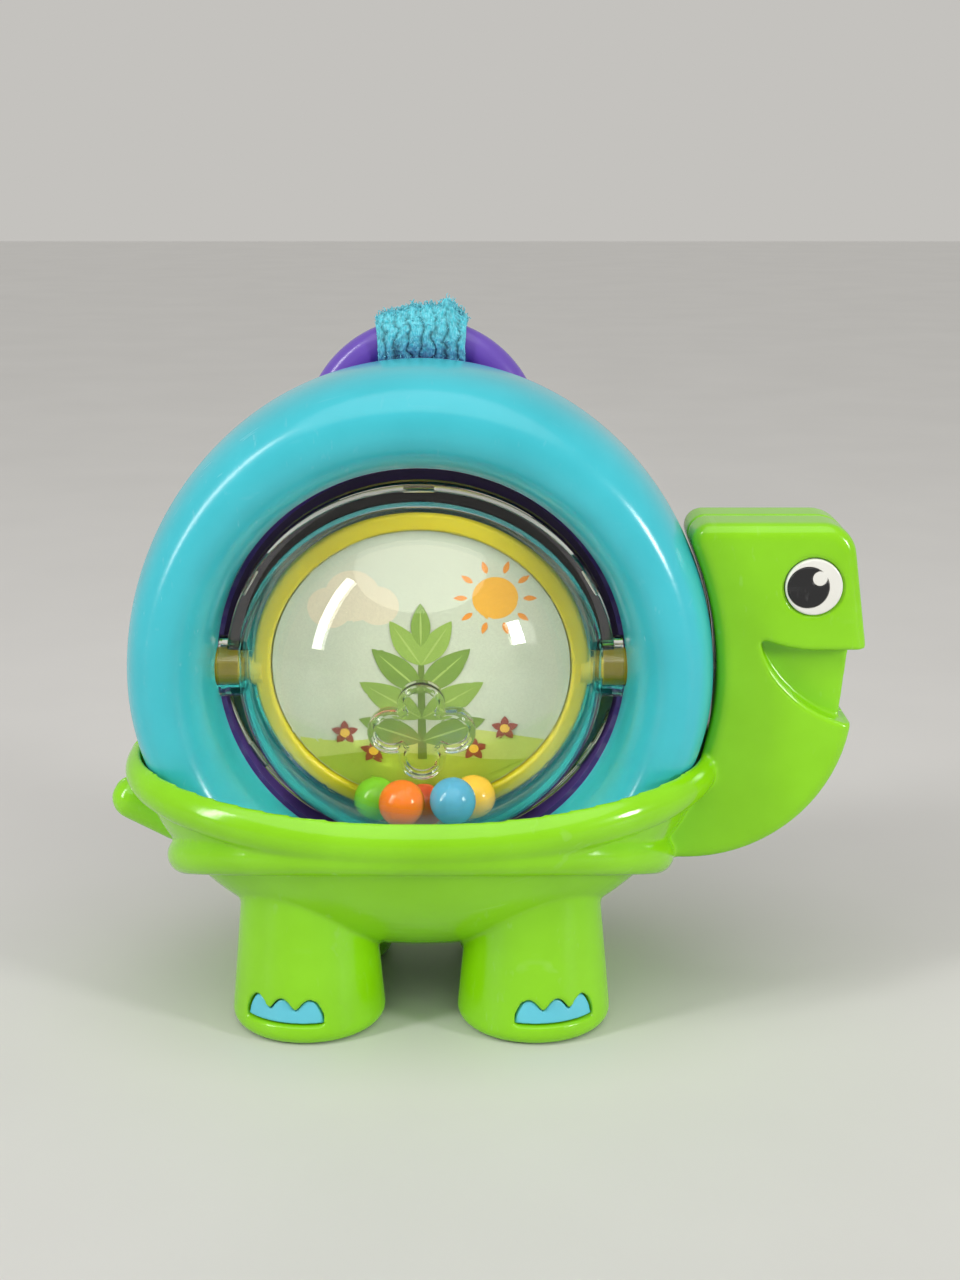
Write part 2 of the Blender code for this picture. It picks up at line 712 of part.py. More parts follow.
def toe_prism(side, end, grow, depth_start, depth_end):
    """The toes' scalloped outline drawn out along the leg's splayed radius."""
    outline = []
    half = TOE_WIDTH / 2 + grow
    base = TOE_BASE_HEIGHT - grow
    points = TOE_ARC_STEPS * TOE_COUNT
    for k in range(points + 1):
        share = k / points
        arch = abs(math.sin(TOE_COUNT * math.pi * share))
        top = TOE_BASE_HEIGHT + TOE_SHOULDER + TOE_SCALLOP * arch + grow
        outline.append((half * (1 - 2 * share), top - STANDING_HEIGHT))
    outline += [(-half, base - STANDING_HEIGHT), (half, base - STANDING_HEIGHT)]
    form = prism(outline, side * depth_start, side * depth_end)
    form.data.transform(Matrix.Rotation(-side * end * TOE_SPLAY, 4, "Z"))
    form.data.transform(Matrix.Translation((end * LEG_SPACING, side * LEG_SETBACK, 0)))
    return form


def toe_insert(side, end):
    """A row of toes that fills its pocket and follows the leg's roundness."""
    form = toe_prism(side, end, 0, toe_pocket_floor() + FIT_GAP, LEG_FOOT_RADIUS + BEYOND)
    x = end * LEG_SPACING
    y = side * LEG_SETBACK
    low = (x, y, -STANDING_HEIGHT)
    high = (x, y, -STANDING_HEIGHT + LEG_HEIGHT)
    inner = rod(low, high, leg_radius(0) - TOE_SINK, LEG_SIDES, leg_radius(LEG_HEIGHT) - TOE_SINK)
    return combine(form, [inner], "INTERSECT")


def tail(side):
    """A round nub at the end away from the head."""
    root = Vector((TAIL_ROOT[0], 0, TAIL_ROOT[1]))
    tip = Vector((TAIL_TIP + TAIL_RADIUS, 0, TAIL_TIP_HEIGHT))
    along = (tip - root).normalized()
    third = along.cross(Vector((0, 1, 0)))
    rings = []
    sides = 14
    for centre, radius in [(root, TAIL_RADIUS)] + [
        (tip + along * TAIL_RADIUS * math.sin(turn), TAIL_RADIUS * math.cos(turn))
        for turn in (0, math.pi / 6, math.pi / 3)
    ]:
        angles = [math.tau * k / sides for k in range(sides)]
        spokes = [Vector((0, math.cos(a), 0)) + third * math.sin(a) for a in angles]
        rings.append([centre + radius * spoke for spoke in spokes])
    return skin(rings + [[tip + along * TAIL_RADIUS]])


def rounded(corners):
    """An outline of (x, z, radius) corners with each corner rounded by an arc."""
    outline = []
    count = len(corners)
    for k in range(count):
        here = Vector(corners[k][:2])
        radius = corners[k][2]
        if radius == 0:
            outline.append(tuple(here))
            continue
        before = (Vector(corners[k - 1][:2]) - here).normalized()
        after = (Vector(corners[(k + 1) % count][:2]) - here).normalized()
        half = before.angle(after) / 2
        centre = here + (before + after).normalized() * radius / math.sin(half)
        start = here + before * radius / math.tan(half) - centre
        end = here + after * radius / math.tan(half) - centre
        turn = start.angle_signed(end)
        for n in range(CORNER_STEPS + 1):
            spoke = start.copy()
            spoke.rotate(Matrix.Rotation(-turn * n / CORNER_STEPS, 2))
            outline.append(tuple(centre + spoke))
    return outline


def head_outline():
    """The head and neck from the side, closed along the shell's edge."""
    chin = HEAD_FRONT - CHIN_SETBACK
    edge = SHELL_SIDE + FIT_GAP
    low_angle = math.asin((NECK_BOTTOM + 2 * HEAD_EDGE_ROUNDING) / edge)
    top_angle = math.asin((HEAD_TOP - 2 * HEAD_BACK_CORNER) / edge)
    beside_shell = []
    for k in range(HEAD_ARC_STEPS + 1):
        angle = low_angle + (top_angle - low_angle) * k / HEAD_ARC_STEPS
        radius = shell_outline(angle) + FIT_GAP
        beside_shell.append((radius * math.cos(angle), radius * math.sin(angle), 0))
    lower, upper = beside_shell[-2:]
    slope = (upper[0] - lower[0]) / (upper[1] - lower[1])
    corners = beside_shell + [
        (upper[0] + slope * (HEAD_TOP - upper[1]), HEAD_TOP, HEAD_BACK_CORNER),
        (HEAD_FRONT - HEAD_BROW_SETBACK, HEAD_TOP, HEAD_BROW_CORNER),
        (HEAD_FRONT, MOUTH_LIP_HEIGHT, 0),
        (chin, CHIN_HEIGHT, 0),
        (chin, NECK_BOTTOM, CHIN_HEIGHT - NECK_BOTTOM - FIT_GAP),
        (beside_shell[0][0], NECK_BOTTOM, 0),
    ]
    return rounded(corners)


def head(side):
    """Half of the head slab, with its outer edge rounded."""
    outline = head_outline()
    mesh = bmesh.new()
    near = [mesh.verts.new((x, -side * BEYOND / 2, z)) for x, z in outline]
    far = [mesh.verts.new((x, side * HEAD_HALF_THICKNESS, z)) for x, z in outline]
    mesh.faces.new(near)
    face = mesh.faces.new(far[::-1])
    for k in range(len(outline)):
        following = (k + 1) % len(outline)
        mesh.faces.new((near[k], near[following], far[following], far[k]))
    bmesh.ops.recalc_face_normals(mesh, faces=mesh.faces)
    bmesh.ops.bevel(
        mesh, geom=list(face.edges), offset=HEAD_EDGE_ROUNDING, segments=3, profile=0.5,
        affect="EDGES", clamp_overlap=False,
    )
    return solid(mesh)


def mouth(side):
    """The smiling mouth: a recess in the face that opens at the front."""
    corner = HEAD_FRONT - MOUTH_LENGTH
    lip = MOUTH_LIP_HEIGHT
    chin = lip - MOUTH_DROP
    beyond = HEAD_FRONT + BEYOND
    upper = []
    for k in range(MOUTH_STEPS // 2):
        rest = 1 - 2 * k / MOUTH_STEPS
        upper.append((corner + MOUTH_CURL * (1 - rest), lip + (MOUTH_CORNER_HEIGHT - lip) * rest ** 2))
    lower = []
    for k in range(1, MOUTH_STEPS + 1):
        length = MOUTH_LENGTH - CHIN_SETBACK
        drop = MOUTH_CORNER_HEIGHT - chin
        across, down = squircle(math.pi / 2 * k / MOUTH_STEPS, length, drop, MOUTH_SQUARENESS)
        lower.append((HEAD_FRONT - CHIN_SETBACK - across, MOUTH_CORNER_HEIGHT - down))
    outline = upper + [(beyond, lip), (beyond, chin)] + lower[::-1]
    return prism(outline, side * (HEAD_HALF_THICKNESS - MOUTH_DEPTH), side * (HEAD_HALF_THICKNESS + BEYOND))


def mouth_gape(side):
    """The part of the mouth that goes right through, in front of the recess."""
    lip = MOUTH_LIP_HEIGHT
    chin = lip - MOUTH_DROP
    top = HEAD_FRONT - MOUTH_WEB_SETBACK
    beyond = HEAD_FRONT + BEYOND
    outline = [(top, lip), (beyond, lip), (beyond, chin), (top - MOUTH_WEB_SLANT, chin)]
    return prism(outline, -side * BEYOND, side * (HEAD_HALF_THICKNESS + BEYOND))


def eye_button(side):
    """A white button in its seat on the side of the head, with a pocket for the pupil."""
    x = HEAD_FRONT - EYE_SETBACK
    seat = HEAD_HALF_THICKNESS - EYE_SEAT_DEPTH + FIT_GAP
    front = HEAD_HALF_THICKNESS + EYE_PROUD
    profile = [
        (0, seat),
        (EYE_RADIUS, seat),
        (EYE_RADIUS, front - EYE_PROUD / 2),
        (EYE_RADIUS - EYE_PROUD, front),
        (0, front),
    ]
    button = turned([(radius, side * y) for radius, y in profile], FINE_SIDES)
    button.data.transform(Matrix.Translation((x, 0, EYE_HEIGHT)))
    return cut(button, pupil_form(side, HALF_GAP, front - PUPIL_DEPTH, front + BEYOND))


def pupil_form(side, grow, start, end):
    """The pupil's round outline with the glint bitten out of it."""
    x = HEAD_FRONT - EYE_SETBACK - PUPIL_SHIFT
    z = EYE_HEIGHT
    form = rod((x, side * start, z), (x, side * end, z), PUPIL_RADIUS + grow, FINE_SIDES)
    glint_x = x + GLINT_OFFSET[0]
    glint_z = z + GLINT_OFFSET[1]
    low = (glint_x, side * (start - BEYOND), glint_z)
    high = (glint_x, side * (end + BEYOND), glint_z)
    return cut(form, rod(low, high, GLINT_RADIUS - grow, COARSE_SIDES))


def pupil(side):
    """The black inlay of an eye."""
    front = HEAD_HALF_THICKNESS + EYE_PROUD
    return pupil_form(side, 0, front - PUPIL_DEPTH + FIT_GAP, front + HALF_GAP)


def leg_screw_height():
    """The legs' screws stand clear below the shell's edge."""
    return -SHELL_BOTTOM * math.sqrt(1 - (LEG_SPACING / SHELL_SIDE) ** 2) - LEG_SCREW_DROP


def body_screw_places():
    """Where the body's screws stand: neck, head and both legs, as (x, z, face behind)."""
    places = [
        (SHELL_SIDE + NECK_SCREW[0], NECK_SCREW[1], HEAD_HALF_THICKNESS),
        (SHELL_SIDE + HEAD_SCREW[0], HEAD_SCREW[1], HEAD_HALF_THICKNESS),
    ]
    for end in (-1, 1):
        places.append((end * LEG_SPACING, leg_screw_height(), LEG_SETBACK + LEG_FOOT_RADIUS))
    return places


def body_half(side):
    """Half of the bowl with its rolled edges, two legs, and half of the tail and the head."""
    added = [
        bowl(side),
        roll(side, SKIRT_RADII, SKIRT_INSETS, SKIRT_HEIGHTS, SKIRT_DIP),
        roll(side, RIM_RADII, RIM_INSETS, RIM_HEIGHTS, RIM_DIP),
        tail(side),
        head(side),
    ]
    eye_x = HEAD_FRONT - EYE_SETBACK
    seat = side * (HEAD_HALF_THICKNESS - EYE_SEAT_DEPTH)
    outside = side * (HEAD_HALF_THICKNESS + BEYOND)
    removed = [
        shell_room(side),
        mouth(side),
        mouth_gape(side),
        rod((eye_x, seat, EYE_HEIGHT), (eye_x, outside, EYE_HEIGHT), EYE_RADIUS + HALF_GAP, FINE_SIDES),
        other_side(side),
    ]
    for end in (-1, 1):
        x = end * LEG_SPACING
        z = leg_screw_height()
        added.append(leg(side, end))
        inner = (x, -side * BEYOND / 3, z)
        added.append(rod(inner, (x, side * LEG_SETBACK, z), SCREW_BOSS_RADIUS, COARSE_SIDES))
        removed.append(toe_prism(side, end, FIT_GAP, toe_pocket_floor(), LEG_FOOT_RADIUS + BEYOND))
    for x, z, back_face in body_screw_places():
        removed += screw_hole(side, x, z, back_face)
    return cut(join(*added), *removed)


def screw(x, z):
    """A round-headed screw from the seat in the back half into the front half."""
    seat = SCREW_SEAT + FIT_GAP
    top = seat + SCREW_HEAD_THICKNESS
    shank_end = (x, (seat + top) / 2, z)
    shank = rod((x, -SCREW_BITE, z), shank_end, SCREW_SHANK_RADIUS, COARSE_SIDES)
    return join(shank, rod((x, seat, z), (x, top, z), SCREW_HEAD_RADIUS, COARSE_SIDES))


def build():
    """Make every piece and hang it on the toy, on the ball's axis or on the beads' axis."""
    remove_everything()
    green = material("green_plastic", (0.27, 0.62, 0.0), 0.3)
    blue = material("blue_plastic", (0.06, 0.45, 0.55), 0.3)
    purple = material("purple_plastic", (0.17, 0.08, 0.5), 0.3)
    yellow = material("yellow_plastic", (0.75, 0.6, 0.03), 0.35)
    clear = material("clear_plastic", (0.9, 0.93, 0.9), 0.05, 0.95)
    white = material("white_plastic", (0.85, 0.85, 0.82), 0.3)
    black = material("black_plastic", (0.01, 0.01, 0.01), 0.25)
    toes = material("toe_plastic", (0.07, 0.45, 0.65), 0.35)
    print_card = material("picture_print", (0.75, 0.78, 0.7), 0.5)
    fabric = material("strap_fabric", (0.08, 0.5, 0.6), 0.95)
    steel = material("screw_steel", (0.5, 0.5, 0.5), 0.35)
    bead_colours = {
        "bead_green": (0.25, 0.6, 0.03),
        "bead_red": (0.7, 0.05, 0.03),
        "bead_yellow": (0.85, 0.5, 0.08),
        "bead_orange": (0.85, 0.17, 0.02),
        "bead_blue": (0.12, 0.35, 0.6),
    }

    toy = empty("turtle", location=(-MIDDLE, 0, STANDING_HEIGHT))
    ball_axis = empty("ball_axis", toy, tilt=BALL_TILT)
    bead_axis = empty("bead_axis", ball_axis)

    finish(shell_half(FRONT), "shell_front", toy, blue)
    finish(shell_half(BACK), "shell_back", toy, purple)
    finish(strap(), "hanging_strap", toy, fabric)
    for number, (x, z) in enumerate(screw_places_on_shell(), 1):
        finish(screw(x, z), f"shell_screw_{number}", toy, steel)

    for side, word in ((FRONT, "front"), (BACK, "back")):
        finish(body_half(side), f"body_{word}", toy, green)
        finish(eye_button(side), f"eye_{word}", toy, white)
        finish(pupil(side), f"pupil_{word}", toy, black)
        for end, hand in ((-1, "tail"), (1, "head")):
            finish(toe_insert(side, end), f"toes_{word}_{hand}_end", toy, toes)
        finish(dome(side), f"ball_dome_{word}", ball_axis, clear)
        finish(picture_disc(side), f"picture_disc_{word}", ball_axis, print_card)
    for number, (x, z, _) in enumerate(body_screw_places(), 1):
        finish(screw(x, z), f"body_screw_{number}", toy, steel)

    finish(picture_ring(), "picture_ring", ball_axis, yellow)
    for row, beads in enumerate((BEAD_BACK_ROW, BEAD_FRONT_ROW)):
        for name, degrees in beads.items():
            surface = material(name + "_plastic", bead_colours[name], 0.25)
            finish(bead(), name, bead_axis, surface).location = bead_place(degrees, row)
    finish(charm(), "clear_charm", bead_axis, clear)


build()
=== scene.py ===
"""The looks of a baby's turtle rattle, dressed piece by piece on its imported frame. Lengths are in metres."""
import json
import math
import random

import bmesh
import bpy
from mathutils import Matrix, Vector, noise


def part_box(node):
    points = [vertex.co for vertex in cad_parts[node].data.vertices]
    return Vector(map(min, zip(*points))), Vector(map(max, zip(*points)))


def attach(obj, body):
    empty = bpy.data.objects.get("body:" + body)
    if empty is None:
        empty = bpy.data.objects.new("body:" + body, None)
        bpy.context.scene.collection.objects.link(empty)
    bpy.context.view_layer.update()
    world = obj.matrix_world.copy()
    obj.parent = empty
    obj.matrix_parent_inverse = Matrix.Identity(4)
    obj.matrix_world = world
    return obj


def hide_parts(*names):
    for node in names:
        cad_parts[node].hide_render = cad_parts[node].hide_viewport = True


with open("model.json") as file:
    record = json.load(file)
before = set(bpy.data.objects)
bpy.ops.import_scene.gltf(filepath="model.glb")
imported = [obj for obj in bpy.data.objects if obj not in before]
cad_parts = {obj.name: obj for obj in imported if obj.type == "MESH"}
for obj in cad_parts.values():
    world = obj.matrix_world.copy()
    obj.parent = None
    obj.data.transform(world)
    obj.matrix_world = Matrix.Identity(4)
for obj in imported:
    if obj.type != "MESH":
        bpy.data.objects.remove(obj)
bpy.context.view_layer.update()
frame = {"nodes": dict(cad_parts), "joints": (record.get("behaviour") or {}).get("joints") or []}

# Picture ring
# One yellow moulding that carries both picture discs and turns on the trunnion at each of its sides.
# Satin plastic with soft edges, with painted shade on the trunnions, which sit in the shell's shadow; the
# clear domes snap over it.
MM = 0.001
FIT_GAP = 0.3 * MM
joints = {joint["name"]: joint for joint in frame["joints"]}
ball_middle = Vector(joints["ball_spin"]["pos_m"])
tumble_axis = Vector(joints["bead_tumble"]["axis"])
ball_tilt = math.atan2(-tumble_axis.z, -tumble_axis.y)
on_toy = Matrix.Translation(ball_middle)
on_ball = on_toy @ Matrix.Rotation(ball_tilt, 4, "X")


def solid(mesh):
    """A working object made from a bmesh, which is used up."""
    bmesh.ops.recalc_face_normals(mesh, faces=mesh.faces)
    data = bpy.data.meshes.new("working")
    mesh.to_mesh(data)
    mesh.free()
    thing = bpy.data.objects.new("working", data)
    bpy.context.scene.collection.objects.link(thing)
    return thing


def skin(rings, wrap=False):
    """A closed solid over a row of point rings. A ring of one point is a pole."""
    mesh = bmesh.new()
    rows = [[mesh.verts.new(point) for point in ring] for ring in rings]
    following = rows[1:] + rows[:1] if wrap else rows[1:]
    for near, far in zip(rows, following):
        for k in range(max(len(near), len(far))):
            corners = [
                near[k % len(near)],
                near[(k + 1) % len(near)],
                far[(k + 1) % len(far)],
                far[k % len(far)],
            ]
            mesh.faces.new(list(dict.fromkeys(corners)))
    bmesh.ops.triangulate(mesh, faces=mesh.faces)
    if not wrap:
        for end in (rows[0], rows[-1]):
            if len(end) > 2:
                mesh.faces.new(end)
    return solid(mesh)


def round_angles(steps, start=0.0):
    """Even angles once round."""
    return [math.tau * (k + start) / steps for k in range(steps)]


def turned(profile, steps, closed=False):
    """A profile of (radius, y) points turned about the Y axis."""
    rings = []
    for radius, y in profile:
        if radius == 0:
            rings.append([(0, y, 0)])
        else:
            rings.append([(radius * math.cos(a), y, radius * math.sin(a)) for a in round_angles(steps)])
    return skin(rings, wrap=closed)


def rod(start, end, radius, sides=48, end_radius=None):
    """A straight round bar, or a cone, between two points."""
    start = Vector(start)
    end = Vector(end)
    turn = (end - start).to_track_quat("Z", "Y")
    rings = []
    for centre, size in ((start, radius), (end, radius if end_radius is None else end_radius)):
        spokes = [Vector((size * math.cos(a), size * math.sin(a), 0)) for a in round_angles(sides, 0.5)]
        rings.append([centre + turn @ spoke for spoke in spokes])
    return skin(rings)


def rounded(corners, steps=6):
    """An outline of (x, z, radius) corners, each rounded by an arc."""
    outline = []
    count = len(corners)
    for k in range(count):
        here = Vector(corners[k][:2])
        radius = corners[k][2]
        if radius == 0:
            outline.append(tuple(here))
            continue
        before = (Vector(corners[k - 1][:2]) - here).normalized()
        after = (Vector(corners[(k + 1) % count][:2]) - here).normalized()
        half = before.angle(after) / 2
        centre = here + (before + after).normalized() * radius / math.sin(half)
        start = here + before * radius / math.tan(half) - centre
        end = here + after * radius / math.tan(half) - centre
        turn = start.angle_signed(end)
        for n in range(steps + 1):
            spoke = start.copy()
            spoke.rotate(Matrix.Rotation(-turn * n / steps, 2))
            outline.append(tuple(centre + spoke))
    return outline


def combine(target, tools, operation):
    """Join tools to a working object, cut them away or keep what is shared. The tools are used up."""
    kit = bpy.data.collections.new("tools")
    for tool in tools:
        kit.objects.link(tool)
    modifier = target.modifiers.new("combine", "BOOLEAN")
    modifier.operation = operation
    modifier.solver = "EXACT"
    modifier.operand_type = "COLLECTION"
    modifier.collection = kit
    bake(target)
    for tool in tools:
        bpy.data.objects.remove(tool)
    bpy.data.collections.remove(kit)
    return target


def bake(thing):
    """Turn an object's modifiers into plain mesh."""
    graph = bpy.context.evaluated_depsgraph_get()
    result = bpy.data.meshes.new_from_object(thing.evaluated_get(graph))
    thing.modifiers.clear()
    thing.data = result
    return thing


def join(target, *tools):
    """Join tools to a working object."""
    return combine(target, tools, "UNION")


def dress(thing, place, surface, body, slot, *nodes, name=None, sharp=40):
    """Put a working object in its place, name it, finish it and fix it to its body for its nodes."""
    thing.data.transform(place)
    for node in nodes:
        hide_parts(node)
    thing.name = name or nodes[0] + "_skin"
    thing.data.name = thing.name
    thing.data.materials.clear()
    thing.data.materials.append(surface)
    thing.data.shade_smooth()
    if sharp:
        thing.data.set_sharp_from_angle(angle=math.radians(sharp))
    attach(thing, body)
    return thing


def feed(tree, node, *row, **named):
    """Give a node its inputs, in a row or by name, as values or as links."""
    sockets = list(zip(node.inputs, row))
    sockets += [(node.inputs[key.replace("_", " ")], value) for key, value in named.items()]
    for socket, value in sockets:
        if isinstance(value, bpy.types.NodeSocket):
            tree.links.new(value, socket)
        else:
            socket.default_value = value
    return node


def add(tree, kind, settings=None, *row, **named):
    """A new node with its settings and inputs."""
    node = tree.nodes.new(kind)
    for key, value in (settings or {}).items():
        setattr(node, key, value)
    return feed(tree, node, *row, **named)


def figure(tree, operation, *values):
    """The result of a sum on values or links."""
    return add(tree, "ShaderNodeMath", {"operation": operation}, *values).outputs[0]


def mixed(tree, share, first, second, blend="MIX"):
    """Two colours mixed by a share."""
    return add(tree, "ShaderNodeMixRGB", {"blend_type": blend}, share, first, second).outputs[0]


def mottle(tree, place, scale, detail, **more):
    """A cloudy value from 0 to 1."""
    noise_node = add(tree, "ShaderNodeTexNoise", Vector=place, Scale=scale, Detail=detail, **more)
    return noise_node.outputs["Fac"]


def stretched(tree, place, **spread):
    """A place turned, moved or stretched, for a pattern with a direction."""
    return add(tree, "ShaderNodeMapping", Vector=place, **spread).outputs[0]


def graded(tree, value, low, high, start, end):
    """A value between low and high spread over start to end."""
    spread = {"From_Min": low, "From_Max": high, "To_Min": start, "To_Max": end}
    return add(tree, "ShaderNodeMapRange", Value=value, **spread).outputs["Result"]


def linear(red, green, blue):
    """A colour as a screen shows it, from 0 to 255, turned into light."""
    shares = [part / 255 for part in (red, green, blue)]
    return [s / 12.92 if s <= 0.04045 else ((s + 0.055) / 1.055) ** 2.4 for s in shares] + [1.0]


def tinted(colour, share, target):
    """A colour moved a share of the way to another."""
    return [a + (b - a) * share for a, b in zip(colour, target)]


WHITE = [1.0, 1.0, 1.0, 1.0]
BLACK = [0.0, 0.0, 0.0, 1.0]


def finish_of(name):
    """A new material: itself, its tree, its shader and the place on the piece."""
    surface = bpy.data.materials.new(name)
    surface.use_nodes = True
    tree = surface.node_tree
    place = add(tree, "ShaderNodeTexCoord").outputs["Object"]
    return surface, tree, tree.nodes["Principled BSDF"], place


def plastic(name, colour, roughness, wear=0.12):
    """Moulded plastic: cloudy pigment, a faint orange peel, fine scratches and rubbed edges."""
    surface, tree, shader, place = finish_of(name)
    cloud = mottle(tree, place, 55.0, 4.0)
    deep = tinted(colour, 0.12, BLACK)
    pale = tinted(colour, 0.008, WHITE)
    pigment = mixed(tree, graded(tree, cloud, 0.3, 0.7, 0.0, 1.0), deep, pale)
    scratches = []
    for turn, stretch in ((0.5, (18, 900, 260)), (-0.9, (700, 22, 300))):
        slant = stretched(tree, place, Rotation=(0.3, turn, turn), Scale=stretch)
        scratches.append(graded(tree, mottle(tree, slant, 1.0, 2.0), 0.66, 0.74, 0.0, 1.0))
    patch = mottle(tree, place, 30.0, 2.0)
    handled = graded(tree, patch, 0.45, 0.65, 0.0, wear)
    rubbed = figure(tree, "MULTIPLY", figure(tree, "MAXIMUM", *scratches), handled)
    corner = graded(tree, add(tree, "ShaderNodeNewGeometry").outputs["Pointiness"], 0.53, 0.62, 0.0, wear)
    edge = figure(tree, "MULTIPLY", corner, graded(tree, cloud, 0.4, 0.6, 0.1, 1.0))
    worn = figure(tree, "ADD", rubbed, edge)
    finished = mixed(tree, worn, pigment, tinted(colour, 0.35, WHITE))
    gloss = graded(tree, patch, 0.3, 0.7, roughness - 0.04, roughness + 0.05)
    satin = figure(tree, "MULTIPLY_ADD", worn, 0.35, gloss)
    peel = mottle(tree, place, 700.0, 1.0)
    relief = add(tree, "ShaderNodeBump", Strength=0.05, Distance=0.0004, Height=peel).outputs[0]
    feed(tree, shader, Base_Color=finished, Roughness=satin, Normal=relief)
    return surface


RING_RADIUS = 32.0 * MM
RING_WIDTH = 3.3 * MM
RING_HALF_DEPTH = 3.0 * MM
RING_ROUNDING = 0.8 * MM
SEAT_WIDTH = 2.4 * MM
SEAT_HALF_THICKNESS = 0.6 * MM
TRUNNION_RADIUS = 3.6 * MM
TRUNNION_CHAMFER = 0.6 * MM
LUG_END = RING_RADIUS + 2.6 * MM
trunnion_end = (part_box("picture_ring")[1].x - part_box("picture_ring")[0].x) / 2
print_radius = RING_RADIUS - RING_WIDTH
section = rounded([
    (RING_RADIUS, -RING_HALF_DEPTH, RING_ROUNDING),
    (RING_RADIUS, RING_HALF_DEPTH, RING_ROUNDING),
    (print_radius, RING_HALF_DEPTH, RING_ROUNDING),
    (print_radius, SEAT_HALF_THICKNESS, 0),
    (print_radius - SEAT_WIDTH, SEAT_HALF_THICKNESS, 0),
    (print_radius - SEAT_WIDTH, -SEAT_HALF_THICKNESS, 0),
    (print_radius, -SEAT_HALF_THICKNESS, 0),
    (print_radius, -RING_HALF_DEPTH, RING_ROUNDING),
])
ring = turned(section, 160, closed=True)
for end in (-1, 1):
    root = (end * (print_radius + RING_WIDTH / 2), 0, 0)
    shoulder = end * (trunnion_end - TRUNNION_CHAMFER)
    join(ring, rod(root, (shoulder, 0, 0), TRUNNION_RADIUS))
    chamfer = ((shoulder - end * FIT_GAP, 0, 0), (end * trunnion_end, 0, 0))
    join(ring, rod(*chamfer, TRUNNION_RADIUS - 0.1 * MM, 48, TRUNNION_RADIUS - TRUNNION_CHAMFER))
yellow = plastic("yellow_moulding", linear(222, 202, 30), 0.32)
tree = yellow.node_tree
base = tree.nodes["Principled BSDF"].inputs["Base Color"]
place = add(tree, "ShaderNodeTexCoord").outputs["Object"]
centred = add(tree, "ShaderNodeSeparateXYZ", None, stretched(tree, place, Location=-ball_middle))
from_middle = figure(tree, "ABSOLUTE", centred.outputs["X"])
# Painted shade: out past the lugs, the trunnions' yellow is darkened to olive as if in the shell's shadow.
painted_trunnion_shade = graded(tree, from_middle, LUG_END - FIT_GAP, LUG_END + FIT_GAP, 0.0, 1.0)
tree.links.new(mixed(tree, painted_trunnion_shade, base.links[0].from_socket, linear(138, 122, 8)), base)
dress(ring, on_ball, yellow, "ball", "yellow_plastic", "picture_ring")

# Picture discs
# Two thin printed cards, one to each side, lying on the ring's seat behind the domes.
# The print is a plain meadow: sky, a cloud, hills, a leafy bush, a sun and a few flowers.
CARD_THICKNESS = 0.8 * MM
INK = 0.02 * MM
FRONT = -1
BACK = 1
SIDES = ((FRONT, "front"), (BACK, "back"))


def circle(x, z, radius, steps=40):
    """A round of ink as an outline of (x, z) points."""
    return [(x + radius * math.cos(a), z + radius * math.sin(a)) for a in round_angles(steps)]


def leaf(x, z, length, width, heading, steps=14):
    """A pointed leaf growing from (x, z) in a heading given in degrees."""
    turn = math.radians(heading)
    along = Vector((math.cos(turn), math.sin(turn)))
    across = Vector((-along.y, along.x))
    shares = [k / steps for k in range(steps + 1)]
    bulges = [math.sin(math.pi * s) ** 0.8 * (1 - 0.35 * s) for s in shares]
    left = [along * length * s + across * width / 2 * b for s, b in zip(shares, bulges)]
    right = [along * length * s - across * width / 2 * b for s, b in zip(shares, bulges)]
    return [(x + p.x, z + p.y) for p in left + right[-2:0:-1]]


def hill(height, swell, phase, steps=60):
    """A strip of meadow: a wavy top edge down to the card's round edge."""
    edge = print_radius - FIT_GAP - 0.2 * MM
    reach = math.sqrt(edge ** 2 - height ** 2) * 0.97
    xs = [reach * (1 - 2 * k / steps) for k in range(steps + 1)]
    top = [(x, height + swell * math.sin(x / (7 * MM) + phase)) for x in xs]
    arc = [(-x, -math.sqrt(edge ** 2 - x ** 2)) for x in xs]
    return top + arc


def printed(side):
    """The design as a list of (outline, colour), from the back to the front."""
    m = MM * (1 if side == FRONT else -1)
    design = [(circle(0, 0, print_radius - FIT_GAP, 120), linear(204, 209, 196))]
    design += [(circle(x * m, z * MM, r * MM), linear(226, 214, 196)) for x, z, r in (
        (-17, 13, 4.2), (-12.6, 15.4, 5.2), (-8, 13.4, 4.0))]
    design.append((circle(14 * m, 15 * MM, 4.3 * MM), linear(240, 176, 56)))
    for turn in round_angles(10):
        x = 14 * m + 5.2 * MM * math.cos(turn)
        z = 15 * MM + 5.2 * MM * math.sin(turn)
        design.append((leaf(x, z, 2.6 * MM, 1.3 * MM, math.degrees(turn)), linear(242, 150, 46)))
    design.append((hill(-14 * MM, 1.3 * MM, 0.6), linear(196, 206, 112)))
    design.append((hill(-18.5 * MM, 1.0 * MM, 2.4), linear(170, 188, 66)))
    stem = [(-0.9 * MM, -19 * MM), (0.9 * MM, -19 * MM), (0.5 * MM, 6 * MM), (-0.5 * MM, 6 * MM)]
    design.append((stem, linear(104, 132, 44)))
    for z, length, heading, colour in (
        (-15, 13, 20, (120, 150, 58)),
        (-10, 14, 32, (138, 168, 70)),
        (-4.5, 13, 44, (120, 152, 60)),
        (1, 11, 58, (146, 176, 78)),
        (5, 9, 90, (128, 160, 62)),
    ):
        for way in dict.fromkeys((heading, 180 - heading)):
            blade = leaf(0, z * MM, length * MM, length * 0.5 * MM, way)
            vein = leaf(0, z * MM, length * 0.86 * MM, 0.5 * MM, way)
            design += [(blade, linear(*colour)), (vein, linear(168, 192, 104))]
    for x, z in ((-15, -13.5), (-9.5, -17.5), (10, -17), (16, -12.5)):
        for k in range(5):
            design.append((leaf(x * m, z * MM, 2.7 * MM, 1.9 * MM, 72 * k + 18), linear(150, 62, 50)))
        design.append((circle(x * m, z * MM, 0.95 * MM, 20), linear(242, 190, 70)))
    return design


